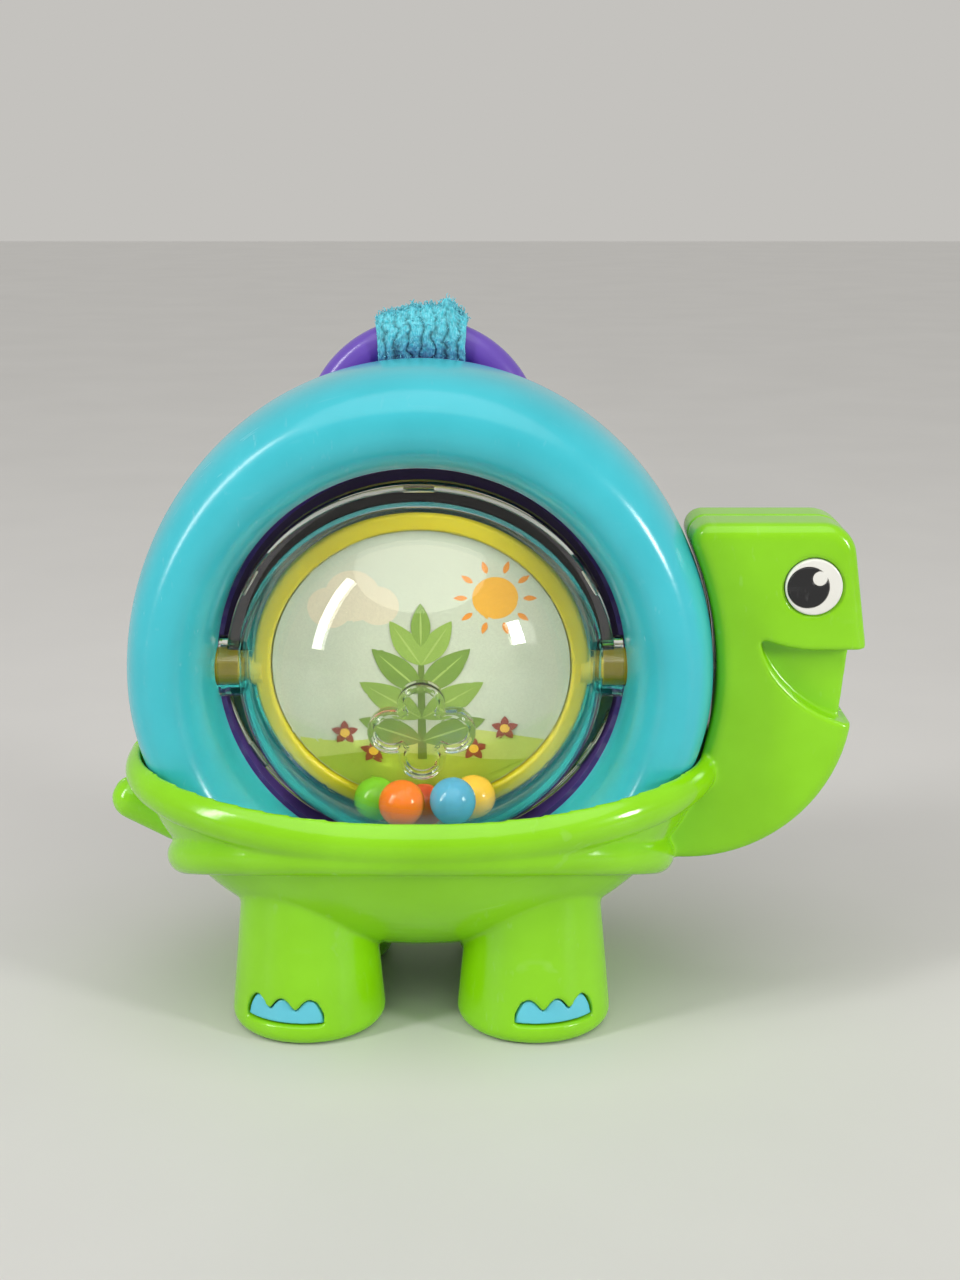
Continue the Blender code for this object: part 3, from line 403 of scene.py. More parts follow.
def printing_ink(name):
    """Ink on smooth card: each colour with a faint screen grain and a soft gloss."""
    surface, tree, shader, place = finish_of(name)
    ink = add(tree, "ShaderNodeAttribute", {"attribute_name": "ink"}).outputs["Color"]
    dots = add(tree, "ShaderNodeTexVoronoi", Vector=place, Scale=2600.0).outputs["Distance"]
    shade = mixed(tree, 1.0, ink, graded(tree, dots, 0.0, 0.7, 0.94, 1.04), "MULTIPLY")
    sheen = graded(tree, mottle(tree, place, 120.0, 3.0), 0.3, 0.7, 0.42, 0.55)
    feed(tree, shader, Base_Color=shade, Roughness=sheen)
    return surface


card_ink = printing_ink("meadow_print")
for side, word in SIDES:
    near = side * (SEAT_HALF_THICKNESS + FIT_GAP)
    face = near + side * CARD_THICKNESS
    rim = print_radius - FIT_GAP
    card = turned([(0, near), (rim, near), (rim, face), (0, face)], 120)
    mesh = bmesh.new()
    mesh.from_mesh(card.data)
    ink = mesh.verts.layers.float_color.new("ink")
    for vertex in mesh.verts:
        vertex[ink] = linear(214, 214, 206)
    for layer, (outline, colour) in enumerate(printed(side), 1):
        height = face + side * INK * (1 + layer / 4)
        corners = [mesh.verts.new((x, height, z)) for x, z in outline]
        for vertex in corners:
            vertex[ink] = colour
        patch = mesh.faces.new(corners)
        patch.normal_update()
        if patch.normal.y * side < 0:
            patch.normal_flip()
    mesh.to_mesh(card.data)
    mesh.free()
    dress(card, on_ball, card_ink, "ball", "picture_print", f"picture_disc_{word}", sharp=30)

# Beads
# Five glossy solid plastic balls, loose in the front dome, that make the rattle's noise.
# Each keeps the faint raised seam of its two-part mould and the stub where the plastic was fed in.
BEAD_RADIUS = 4.4 * MM
SEAM_HEIGHT = 0.05 * MM
SEAM_WIDTH = 0.25 * MM
SEAM_FADE = 0.3
STUB_SIZE = 0.12
STUB_REACH = 0.94
BEAD_COLOURS = {
    "bead_green": (120, 190, 40),
    "bead_red": (214, 62, 44),
    "bead_yellow": (240, 184, 66),
    "bead_orange": (240, 112, 34),
    "bead_blue": (84, 160, 208),
}


def tree_with(label, **inputs):
    """An empty geometry tree and its named inputs, each given with its kind."""
    tree = bpy.data.node_groups.new(label, "GeometryNodeTree")
    tree.interface.new_socket("Geometry", in_out="OUTPUT", socket_type="NodeSocketGeometry")
    for name, kind in inputs.items():
        tree.interface.new_socket(name.replace("_", " "), in_out="INPUT", socket_type="NodeSocket" + kind)
    return tree, tree.nodes.new("NodeGroupInput").outputs


def gathered(tree, *shapes):
    """Several shapes as one."""
    whole = tree.nodes.new("GeometryNodeJoinGeometry")
    for shape in shapes:
        tree.links.new(shape, whole.inputs[0])
    return whole.outputs[0]


def ended(tree, shape, surface):
    """End a tree with its shape made plain mesh and given its surface."""
    plain = add(tree, "GeometryNodeRealizeInstances", None, shape).outputs[0]
    painted = add(tree, "GeometryNodeSetMaterial", Geometry=plain, Material=surface).outputs[0]
    add(tree, "NodeGroupOutput", None, painted)
    return tree


def bead_tree():
    """Geometry nodes for a moulded ball with a raised seam round its middle and a feed stub."""
    tree, given = tree_with(
        "moulded_bead", Radius="Float", Seam_Height="Float", Seam_Width="Float",
        Turn="Rotation", Place="Vector", Surface="Material",
    )
    ball = add(tree, "GeometryNodeMeshUVSphere", Segments=64, Rings=48, Radius=given["Radius"])
    spot = add(tree, "GeometryNodeInputPosition").outputs[0]
    height = add(tree, "ShaderNodeSeparateXYZ", None, spot).outputs["Z"]
    fade = figure(tree, "POWER", figure(tree, "DIVIDE", height, given["Seam Width"]), 2.0)
    lift = figure(tree, "MULTIPLY", figure(tree, "POWER", SEAM_FADE, fade), given["Seam Height"])
    outward = add(tree, "GeometryNodeInputNormal").outputs[0]
    offset = add(tree, "ShaderNodeVectorMath", {"operation": "SCALE"}, outward, Scale=lift).outputs[0]
    raised = add(tree, "GeometryNodeSetPosition", Geometry=ball.outputs["Mesh"], Offset=offset)
    small = figure(tree, "MULTIPLY", given["Radius"], STUB_SIZE)
    stub = add(tree, "GeometryNodeMeshUVSphere", Segments=16, Rings=12, Radius=small)
    reach = figure(tree, "MULTIPLY", given["Radius"], STUB_REACH)
    at_side = add(tree, "ShaderNodeCombineXYZ", X=reach).outputs[0]
    moved = add(tree, "GeometryNodeTransform", Geometry=stub.outputs["Mesh"], Translation=at_side)
    placed = add(
        tree, "GeometryNodeTransform", Geometry=gathered(tree, raised.outputs[0], moved.outputs[0]),
        Translation=given["Place"], Rotation=given["Turn"],
    )
    return ended(tree, placed.outputs[0], given["Surface"])


def grown(tree, thing, **inputs):
    """Turn a working object into what a node tree makes of it and of its named inputs."""
    modifier = thing.modifiers.new("nodes", "NODES")
    modifier.node_group = tree
    for item in tree.interface.items_tree:
        if item.in_out == "INPUT" and item.name in inputs:
            modifier[item.identifier] = inputs[item.name]
    return bake(thing)


moulded_bead = bead_tree()
for number, (bead, colour) in enumerate(BEAD_COLOURS.items()):
    low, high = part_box(bead)
    surface = plastic(bead + "_gloss", linear(*colour), 0.16, wear=0.15)
    ball = grown(moulded_bead, solid(bmesh.new()), **{
        "Radius": BEAD_RADIUS - SEAM_HEIGHT, "Seam Height": SEAM_HEIGHT, "Seam Width": SEAM_WIDTH,
        "Turn": (0.7 + number, 0.4 * number, 1.1 * number), "Place": tuple((low + high) / 2),
        "Surface": surface,
    })
    dress(ball, Matrix.Identity(4), surface, "loose_filling", bead + "_plastic", bead, sharp=0)

# Clear charm
# A flat four-lobed piece of clear plastic that slides about in front of the picture with the beads.
# Its edge is rounded and a low bead runs along it, which catches the light as a double line.
LOBES = 4
LOBE_RADIUS = 4.6 * MM
LOBE_REACH = 5.8 * MM
CHARM_ROUNDING = 0.7 * MM
CHARM_WALL = 1.1 * MM
CHARM_SINK = 0.45 * MM


def quarter_round(radius, steps):
    """A rounded edge as (inset, height) pairs, from its face to its side."""
    angles = [math.pi / 2 * k / steps for k in range(steps + 1)]
    return [(radius * (1 - math.sin(a)), radius * (1 - math.cos(a))) for a in angles]


def lobed(shrink, steps=22):
    """The charm's outline, drawn in by an amount."""
    outline = []
    pitch = math.tau / LOBES
    radius = LOBE_RADIUS - shrink
    waist = LOBE_REACH * math.sin(pitch / 2) / radius
    sweep = pitch / 2 + math.asin(min(waist, 1))
    for lobe in range(LOBES):
        heading = math.pi / 2 + pitch * lobe
        for k in range(steps):
            angle = heading + sweep * (2 * (k + 0.5) / steps - 1)
            x = LOBE_REACH * math.cos(heading) + radius * math.cos(angle)
            outline.append((x, LOBE_REACH * math.sin(heading) + radius * math.sin(angle)))
    return outline


def clear_plastic(name, tint, roughness):
    """Polished clear plastic: faint smudges and swirls, and lamps shine through it."""
    surface, tree, shader, place = finish_of(name)
    smudge = mottle(tree, place, 60.0, 5.0, Distortion=0.6)
    hue = mixed(tree, smudge, tint, tinted(tint, 0.04, BLACK))
    gloss = graded(tree, smudge, 0.45, 0.75, roughness, roughness + 0.07)
    slant = stretched(tree, place, Rotation=(0.4, 0.8, 0.2), Scale=(30, 800, 300))
    lines = graded(tree, mottle(tree, slant, 1.0, 2.0), 0.66, 0.74, 0.0, 1.0)
    relief = add(tree, "ShaderNodeBump", Strength=0.04, Distance=0.0002, Height=lines).outputs[0]
    feed(tree, shader, Base_Color=hue, Roughness=gloss, Normal=relief, Transmission_Weight=1.0, IOR=1.46)
    lamp_ray = add(tree, "ShaderNodeLightPath").outputs["Is Shadow Ray"]
    open_way = add(tree, "ShaderNodeBsdfTransparent", Color=tinted(tint, 0.06, BLACK)).outputs[0]
    both = add(tree, "ShaderNodeMixShader", None, lamp_ray, shader.outputs[0], open_way)
    feed(tree, tree.nodes["Material Output"], Surface=both.outputs[0])
    return surface


to_ball = on_ball.inverted()
corners = [to_ball @ vertex.co for vertex in frame["nodes"]["clear_charm"].data.vertices]
charm_low = Vector([min(corner[i] for corner in corners) for i in range(3)])
charm_high = Vector([max(corner[i] for corner in corners) for i in range(3)])
charm_middle = (charm_low + charm_high) / 2
depth = charm_high.y - charm_low.y
levels = quarter_round(CHARM_ROUNDING, 4)
section = levels + [(inset, depth - height) for inset, height in levels[::-1]]
section += [(CHARM_WALL, depth), (CHARM_WALL + CHARM_SINK, depth - CHARM_SINK)]
section = [(CHARM_WALL + CHARM_SINK, CHARM_SINK), (CHARM_WALL, 0)] + section
rings = []
for inset, height in section:
    y = charm_low.y + height
    rings.append([(charm_middle.x + x, y, charm_middle.z + z) for x, z in lobed(inset)])
clear = clear_plastic("charm_clear", [0.97, 0.98, 0.97, 1.0], 0.03)
dress(skin(rings), on_ball, clear, "loose_filling", "clear_plastic", "clear_charm", sharp=35)

# Clear domes
# Two halves of the ball, moulded in clear plastic with a flange, clamped round the picture ring.
# Small windows for the snaps are let into the front flange, and half a boss holds each trunnion.
HALF_GAP = FIT_GAP / 2
HOLE_RADIUS = 39.2 * MM
RUNNING_GAP = 2.0 * MM
FLANGE_HALF_WIDTH = 3.2 * MM
FLANGE_STEP = 2.0 * MM
FLANGE_CHAMFER = 0.6 * MM
DOME_HEIGHT = 30.0 * MM
DOME_WALL = 1.8 * MM
BOSS_WALL = 2.0 * MM
SNAP_COUNT = 6
SNAP_SIZE = (5.6 * MM, 1.2 * MM, 0.9 * MM)
FAR = 200 * MM
flange_radius = HOLE_RADIUS - RUNNING_GAP
dome_radius = flange_radius - FLANGE_STEP
boss_radius = TRUNNION_RADIUS + FIT_GAP + BOSS_WALL
boss_end = math.sqrt(HOLE_RADIUS ** 2 - boss_radius ** 2) - FIT_GAP
seat_radius = RING_RADIUS + FIT_GAP


def cut(target, *tools):
    """Cut tools away from a working object."""
    return combine(target, tools, "DIFFERENCE")


def block(low, high):
    """A box between two corners."""
    outline = [(low[0], low[2]), (high[0], low[2]), (high[0], high[2]), (low[0], high[2])]
    return skin([[(x, y, z) for x, z in outline] for y in (low[1], high[1])])


def other_side(side):
    """All the space past the parting gap."""
    parting = side * HALF_GAP
    return block((-FAR, min(parting, -side * FAR), -FAR), (FAR, max(parting, -side * FAR), FAR))


def dome_profile(steps=36):
    """From the outer pole round the flange to the inner pole, as (radius, depth)."""
    start = math.asin(FLANGE_HALF_WIDTH / DOME_HEIGHT)
    ledge = RING_HALF_DEPTH + FIT_GAP
    inner_start = math.asin(ledge / (DOME_HEIGHT - DOME_WALL))
    outer = [(0, DOME_HEIGHT)]
    inner = []
    inner_radius = dome_radius - DOME_WALL
    inner_height = DOME_HEIGHT - DOME_WALL
    for k in range(1, steps):
        turn = math.pi / 2 + (start - math.pi / 2) * k / (steps - 1)
        outer.append((dome_radius * math.cos(turn), DOME_HEIGHT * math.sin(turn)))
        turn = inner_start + (math.pi / 2 - inner_start) * (k - 1) / (steps - 1)
        inner.append((inner_radius * math.cos(turn), inner_height * math.sin(turn)))
    flange = [
        (flange_radius - FLANGE_CHAMFER, FLANGE_HALF_WIDTH),
        (flange_radius - FLANGE_CHAMFER / 4, FLANGE_HALF_WIDTH - FLANGE_CHAMFER / 4),
        (flange_radius, FLANGE_HALF_WIDTH - FLANGE_CHAMFER),
        (flange_radius, HALF_GAP),
        (seat_radius, HALF_GAP),
        (seat_radius, ledge),
    ]
    return outer + flange + inner + [(0, DOME_HEIGHT - DOME_WALL)]


dome_clear = clear_plastic("dome_clear", [0.95, 0.96, 0.90, 1.0], 0.02)
for side, word in SIDES:
    dome = turned([(radius, side * y) for radius, y in dome_profile()], 144)
    bosses = []
    bores = [other_side(side)]
    for end in (-1, 1):
        bosses.append(rod((end * (seat_radius + FIT_GAP), 0, 0), (end * boss_end, 0, 0), boss_radius))
        bore = TRUNNION_RADIUS + FIT_GAP
        bores.append(rod((end * print_radius, 0, 0), (end * FAR, 0, 0), bore))
    if side == FRONT:
        width, height, sunk = SNAP_SIZE
        for k in range(SNAP_COUNT):
            low = (-width / 2, -HALF_GAP - height - FIT_GAP, flange_radius - sunk)
            window = block(low, (width / 2, -HALF_GAP - FIT_GAP, FAR))
            window.data.transform(Matrix.Rotation(math.tau * k / SNAP_COUNT, 4, "Y"))
            bores.append(window)
    join(dome, *bosses)
    cut(dome, *bores)
    dress(dome, on_ball, dome_clear, "ball", "clear_plastic", f"ball_dome_{word}", sharp=28)

# Ring shell
# Two hollow half rings, turquoise in front and purple behind, screwed together from the back.
# Glossy plastic; the notches in the inner wall are the trunnions' bearings, and the back has the loop.
SHELL_SIDE = 55.5 * MM
SHELL_TOP = 58.5 * MM
SHELL_BOTTOM = 51.4 * MM
SHELL_HALF_DEPTH = 20.0 * MM
SHELL_WALL = 2.0 * MM
SHELL_SQUARENESS = 2.4
SHELL_LAP = 5.0 * MM
SEAT_RADIUS = HOLE_RADIUS - 0.9 * MM
SEAT_DEPTH = 22.5 * MM
LOOP_RADIUS = 20.0 * MM
LOOP_WIRE_RADIUS = 3.4 * MM
LOOP_SETBACK = 18.5 * MM
LOOP_FOOT_ANGLE = math.radians(4)
LOOP_STEPS = 48
loop_height = SHELL_TOP - 17.2 * MM
SCREW_ANGLES = (35, 145, 215, 325)
SCREW_HOLE_RADIUS = 1.6 * MM
SCREW_HEAD_RADIUS = 2.6 * MM
SCREW_SEAT = 5.0 * MM
SCREW_BITE = 8.0 * MM
WELL_RADIUS = SCREW_HEAD_RADIUS + FIT_GAP
BOSS_RADIUS = WELL_RADIUS + 1.4 * MM


def squircle(turn, width, depth, squareness):
    """A point on a squared-off ellipse."""
    cosine = math.cos(turn)
    sine = math.sin(turn)
    power = 2 / squareness
    return (
        width * math.copysign(abs(cosine) ** power, cosine),
        depth * math.copysign(abs(sine) ** power, sine),
    )


def width_at(share, squareness):
    """How wide a squared-off ellipse still is at a share of its depth."""
    return (1 - abs(share) ** squareness) ** (1 / squareness)


def shell_outline(angle):
    """The shell's outer radius in a direction of the XZ plane."""
    height = SHELL_TOP if math.sin(angle) >= 0 else SHELL_BOTTOM
    return 1 / math.hypot(math.cos(angle) / SHELL_SIDE, math.sin(angle) / height)


def shell_section(outline, inset, edges, steps):
    """Half of the ring's section as (radius, depth). Edges are the depths where its walls end."""
    middle = (outline + HOLE_RADIUS) / 2
    half_width = (outline - HOLE_RADIUS) / 2 - inset
    half_depth = SHELL_HALF_DEPTH - inset
    points = []
    for k in range(4 if edges[0] < 0 else 1):
        depth = edges[0] * (1 - k / 4)
        points.append((middle + half_width * width_at(depth / half_depth, SHELL_SQUARENESS), depth))
    for n in range(steps + 1):
        turn = math.pi * n / steps
        eased = turn - 0.35 * math.sin(2 * turn) / 2
        across, deep = squircle(eased, half_width, half_depth, SHELL_SQUARENESS)
        if across < 0 or deep > max(edges[0], 0) + HALF_GAP:
            points.append((middle + across, deep))
    points[-1] = (points[-1][0], edges[1])
    return points


def shell_form(side, inset, edges, steps=40, around=200):
    """Half of the ring, solid, or the room inside its walls when it is inset."""
    rings = []
    for angle in round_angles(around):
        section = shell_section(shell_outline(angle), inset, edges, steps)
        rings.append([(r * math.cos(angle), side * y, r * math.sin(angle)) for r, y in section])
    return skin(rings, wrap=True)


def tube(path, radii, sides=32):
    """A round bar along a path of points, with a radius at each point."""
    points = [Vector(point) for point in path]
    across = (points[1] - points[0]).orthogonal()
    rings = []
    for k, (point, radius) in enumerate(zip(points, radii)):
        along = (points[min(k + 1, len(points) - 1)] - points[max(k - 1, 0)]).normalized()
        across = (across - along * across.dot(along)).normalized()
        third = along.cross(across)
        spokes = [across * math.cos(a) + third * math.sin(a) for a in round_angles(sides)]
        rings.append([point + radius * spoke for spoke in spokes])
    return skin(rings)


def bar(x, z, start, end, radius, sides=48):
    """A round bar from front to back."""
    return rod((x, start, z), (x, end, z), radius, sides)


def screw_hole(side, x, z, back_face):
    """A pilot hole for a front half, or a through hole and a head well for a back half."""
    if side == FRONT:
        return [bar(x, z, BOSS_RADIUS, -SCREW_BITE - FIT_GAP, SCREW_HOLE_RADIUS)]
    through = bar(x, z, -BOSS_RADIUS, SCREW_SEAT + BOSS_RADIUS / 2, SCREW_HOLE_RADIUS)
    return [through, bar(x, z, SCREW_SEAT, back_face + BOSS_RADIUS, WELL_RADIUS)]


def ball_seat(steps=24):
    """The back half's inner lip, which follows the ball and closes the view past it."""
    depths = [HALF_GAP + (SEAT_DEPTH - HALF_GAP) * k / steps for k in range(steps + 1)]
    inner = [(math.sqrt(SEAT_RADIUS ** 2 - y ** 2), y) for y in depths]
    outer = [(math.sqrt((SEAT_RADIUS + SHELL_WALL) ** 2 - y ** 2), y) for y in depths[::-1]]
    lip = SHELL_WALL / 2
    tip_radius = (inner[-1][0] + outer[0][0]) / 2
    angles = [math.pi * k / 8 for k in range(1, 8)]
    tip = [(tip_radius - lip * math.cos(a), SEAT_DEPTH + lip * math.sin(a)) for a in angles]
    return turned(inner + tip + outer, 200, closed=True)


shell_screws = []
for degrees in SCREW_ANGLES:
    angle = math.radians(degrees)
    radius = (shell_outline(angle) + HOLE_RADIUS) / 2
    shell_screws.append((radius * math.cos(angle), radius * math.sin(angle)))
loop_path = []
for k in range(LOOP_STEPS + 1):
    angle = LOOP_FOOT_ANGLE + (math.pi - 2 * LOOP_FOOT_ANGLE) * k / LOOP_STEPS
    rise = LOOP_RADIUS * math.sin(angle)
    loop_path.append((LOOP_RADIUS * math.cos(angle), LOOP_SETBACK, loop_height + rise))
shell_looks = {
    FRONT: ("front", plastic("turquoise_gloss", linear(60, 192, 206), 0.2), "blue_plastic"),
    BACK: ("back", plastic("purple_gloss", linear(106, 76, 178), 0.24), "purple_plastic"),
}
# The lip round the ball is matt, and its purple is darkened well below the shell's as painted shade for the
# deep gap.
matt_lip_painted_shade = plastic("purple_matt_lip_painted_shade", linear(66, 46, 118), 0.75)
feed(matt_lip_painted_shade.node_tree, matt_lip_painted_shade.node_tree.nodes["Principled BSDF"], Specular_IOR_Level=0.08)
for side, (word, surface, slot) in shell_looks.items():
    half = shell_form(side, 0, (side * SHELL_LAP + HALF_GAP, HALF_GAP))
    if side == BACK:
        join(half, tube(loop_path, [LOOP_WIRE_RADIUS] * len(loop_path)), ball_seat())
    cut(half, shell_form(side, SHELL_WALL, (-2 * SHELL_LAP, -BOSS_RADIUS), 20, 100))
    bosses = []
    holes = []
    for x, z in shell_screws:
        bosses.append(bar(x, z, -2 * SHELL_HALF_DEPTH, 2 * SHELL_HALF_DEPTH, BOSS_RADIUS))
        holes += screw_hole(side, x, z, SHELL_HALF_DEPTH)
    for end in (-1, 1):
        inner = (end * (HOLE_RADIUS - BOSS_RADIUS), 0, 0)
        holes.append(rod(inner, (end * (trunnion_end + FIT_GAP), 0, 0), TRUNNION_RADIUS + FIT_GAP))
        holes.append(rod(inner, (end * (boss_end + FIT_GAP), 0, 0), boss_radius + FIT_GAP))
    within_wall = shell_form(side, SHELL_WALL / 2, (HALF_GAP + FIT_GAP, HALF_GAP + FIT_GAP), 20, 100)
    join(half, combine(within_wall, [join(*bosses)], "INTERSECT"))
    cut(half, *holes)
    dress(half, on_toy, surface, "toy", slot, f"shell_{word}", sharp=35)
    if side == BACK:
        half.data.materials.append(matt_lip_painted_shade)
        # Faces close to the ball, the lip's, take the matt material with its painted shade.
        for face in half.data.polygons:
            if (face.center - ball_middle).length < SEAT_RADIUS + SHELL_WALL / 2:
                face.material_index = 1

# Body
# Two lime-green mouldings, front and back: a boat-shaped bowl with a rolled rim and a second roll below
# it, two legs and half of the head and tail each. Glossy plastic, closed with screws from the back.
BODY_WALL = 2.2 * MM
OUTLINE_SQUARENESS = 2.2
DEPTH_SQUARENESS = 2.3
bowl_side = SHELL_SIDE + FIT_GAP + BODY_WALL
bowl_bottom = SHELL_BOTTOM + FIT_GAP + BODY_WALL
bowl_half_depth = HOLE_RADIUS + BODY_WALL
RIM = {"heights": (-18.5, -22.6), "radii": (3.9, 4.6), "insets": (2.2, 2.8), "dip": 4}
SKIRT = {"heights": (-38.2, -25.0), "radii": (3.9, 3.6), "insets": (0.6, 2.0), "dip": 1}
STANDING_HEIGHT = ball_middle.z
LEG_SPACING = 21.5 * MM
LEG_SETBACK = 15.6 * MM
LEG_FOOT_RADIUS = 14.6 * MM
LEG_TOP_RADIUS = 12.2 * MM
LEG_FOOT_ROUNDING = 2.4 * MM
LEG_HEIGHT = 28.0 * MM
TAIL_RADIUS = 4.3 * MM
TAIL_ROOT = (-47.0 * MM, -31.5 * MM)
TAIL_TIP_HEIGHT = -26.6 * MM
HEAD_HALF_THICKNESS = 10.0 * MM
HEAD_TOP = 29.5 * MM
HEAD_EDGE_ROUNDING = 2.4 * MM
HEAD_BACK_CORNER = 3.4 * MM
HEAD_BROW_CORNER = 6.5 * MM
HEAD_BROW_SETBACK = 3.4 * MM
CHIN_SETBACK = 1.9 * MM
CHIN_HEIGHT = -5.0 * MM
NECK_BOTTOM = -36.0 * MM
MOUTH_LIP_HEIGHT = 5.6 * MM
MOUTH_CORNER_HEIGHT = 7.8 * MM
MOUTH_LENGTH = 20.0 * MM
MOUTH_CURL = 11.0 * MM
MOUTH_DROP = 14.4 * MM
MOUTH_SQUARENESS = 1.62
MOUTH_DEPTH = 4.2 * MM
MOUTH_WEB_SETBACK = 2.8 * MM
MOUTH_WEB_SLANT = 1.4 * MM
EYE_RADIUS = 5.3 * MM
EYE_HEIGHT = 17.8 * MM
EYE_SETBACK = 10.6 * MM
EYE_SEAT_DEPTH = 1.6 * MM
NECK_SCREW = (8.0 * MM, -18.0 * MM)
HEAD_SCREW = (8.0 * MM, 19.0 * MM)
LEG_SCREW_DROP = 5.8 * MM
BEYOND = 5.0 * MM
BOWL_SETBACK = 0.6 * MM
BODY_GRAIN = 0.42 * MM
BODY_SOFTNESS = 7
BODY_FACES = 180000
head_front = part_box("body_front")[1].x - ball_middle.x
tail_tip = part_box("body_front")[0].x - ball_middle.x


def moulded(thing, grain, softness):
    """Give a working solid the soft edges and fillets of a moulding."""
    remesh = thing.modifiers.new("flow", "REMESH")
    remesh.mode = "VOXEL"
    remesh.voxel_size = grain
    smooth = thing.modifiers.new("soften", "SMOOTH")
    smooth.factor = 0.5
    smooth.iterations = softness
    return bake(thing)


def bowl_surface(x_reach, z_reach, half_depth, y, z):
    """The half width of the boat shape at a depth and a height."""
    full = width_at(y / half_depth, DEPTH_SQUARENESS)
    rest = full ** OUTLINE_SQUARENESS - (abs(z) / z_reach) ** OUTLINE_SQUARENESS
    return x_reach * max(rest, 0) ** (1 / OUTLINE_SQUARENESS)


def bowl(side, steps=28, around=90):
    """Half of the bowl, level along its top edge."""
    top = sum(RIM["heights"]) / 2 * MM
    bottom = bowl_bottom - BOWL_SETBACK
    half_depth = bowl_half_depth - BOWL_SETBACK
    front = half_depth * width_at(top / bottom, DEPTH_SQUARENESS)
    rings = []
    for n in range(steps):
        y = front * math.sin(math.pi / 2 * n / steps)
        low = -bottom * width_at(y / half_depth, DEPTH_SQUARENESS)
        ring = []
        for k in range(around + 1):
            turn = math.pi * k / around
            z = top + (low - top) * math.sin(turn)
            reach = bowl_surface(bowl_side - BOWL_SETBACK, bottom, half_depth, y, z)
            ring.append((math.copysign(reach, math.cos(turn)), side * y, z))
        rings.append(ring)
    return skin(rings + [[(0, side * front, top)]])


def shell_room(side, steps=24, around=140):
    """The room inside the bowl, widened where the shell stands in it."""
    half_depth = bowl_half_depth - BODY_WALL
    depths = [SHELL_HALF_DEPTH * k / steps for k in range(steps + 1)]
    for n in range(steps):
        depth = squircle(math.pi / 2 * n / steps, 0, half_depth, DEPTH_SQUARENESS)[1]
        if depth > SHELL_HALF_DEPTH + FIT_GAP:
            depths.append(depth)
    rings = []
    for n, depth in enumerate(depths):
        full = width_at(depth / half_depth, DEPTH_SQUARENESS)
        y = side * (depth if n else -2 * BEYOND)
        ring = []
        for angle in round_angles(around):
            reach = (abs(math.cos(angle)) / (bowl_side - BODY_WALL)) ** OUTLINE_SQUARENESS
            reach += (abs(math.sin(angle)) / (bowl_bottom - BODY_WALL)) ** OUTLINE_SQUARENESS
            radius = full * reach ** (-1 / OUTLINE_SQUARENESS)
            if depth <= SHELL_HALF_DEPTH:
                outline = shell_outline(angle)
                half_width = (outline - HOLE_RADIUS) / 2
                share = width_at(depth / SHELL_HALF_DEPTH, SHELL_SQUARENESS)
                radius = max(radius, outline - half_width + half_width * share + FIT_GAP)
            ring.append((radius * math.cos(angle), y, radius * math.sin(angle)))
        rings.append(ring)
    return skin(rings + [[(0, side * half_depth, 0)]])


def roll(side, radii, insets, heights, dip, steps=96):
    """A rounded edge along the bowl. Each pair holds the values at its ends and at its front."""
    x_reach = bowl_side - insets[0] * MM
    z_reach = bowl_bottom - insets[0] * MM
    half_depth = bowl_half_depth - insets[1] * MM
    front = half_depth * width_at(heights[1] * MM / z_reach, DEPTH_SQUARENESS)
    path = []
    thickness = []
    for k in range(steps + 1):
        turn = math.pi * k / steps
        blend = math.sin(turn) ** dip
        y = front * math.sin(turn)
        z = (heights[0] + (heights[1] - heights[0]) * blend) * MM
        x = math.copysign(bowl_surface(x_reach, z_reach, half_depth, y, z), math.cos(turn))
        path.append((x, side * y, z))
        thickness.append((radii[0] + (radii[1] - radii[0]) * blend) * MM)
    first = (path[0][0], -side * BEYOND, path[0][2])
    last = (path[-1][0], -side * BEYOND, path[-1][2])
    return tube([first] + path + [last], thickness[:1] + thickness + thickness[-1:])


def leg_radius(height):
    """The leg's radius at a height above the floor."""
    return LEG_FOOT_RADIUS + (LEG_TOP_RADIUS - LEG_FOOT_RADIUS) * height / LEG_HEIGHT


def leg(side, end, sides=80):
    """A stout round leg with a rounded foot."""
    foot = quarter_round(LEG_FOOT_ROUNDING, 6)
    levels = [(LEG_FOOT_RADIUS - inset, height) for inset, height in foot] + [(LEG_TOP_RADIUS, LEG_HEIGHT)]
    x = end * LEG_SPACING
    y = side * LEG_SETBACK
    rings = []
    for radius, height in levels:
        z = height - STANDING_HEIGHT
        rings.append([(x + radius * math.cos(a), y + radius * math.sin(a), z) for a in round_angles(sides)])
    return skin(rings)


def tail():
    """A round nub at the end away from the head."""
    root = Vector((TAIL_ROOT[0], 0, TAIL_ROOT[1]))
    tip = Vector((tail_tip + TAIL_RADIUS, 0, TAIL_TIP_HEIGHT))
    along = (tip - root).normalized()
    angles = [math.pi / 2 * k / 10 for k in range(10)]
    path = [root] + [tip + along * TAIL_RADIUS * math.sin(a) for a in angles]
    return tube(path, [TAIL_RADIUS] + [TAIL_RADIUS * math.cos(a) for a in angles])


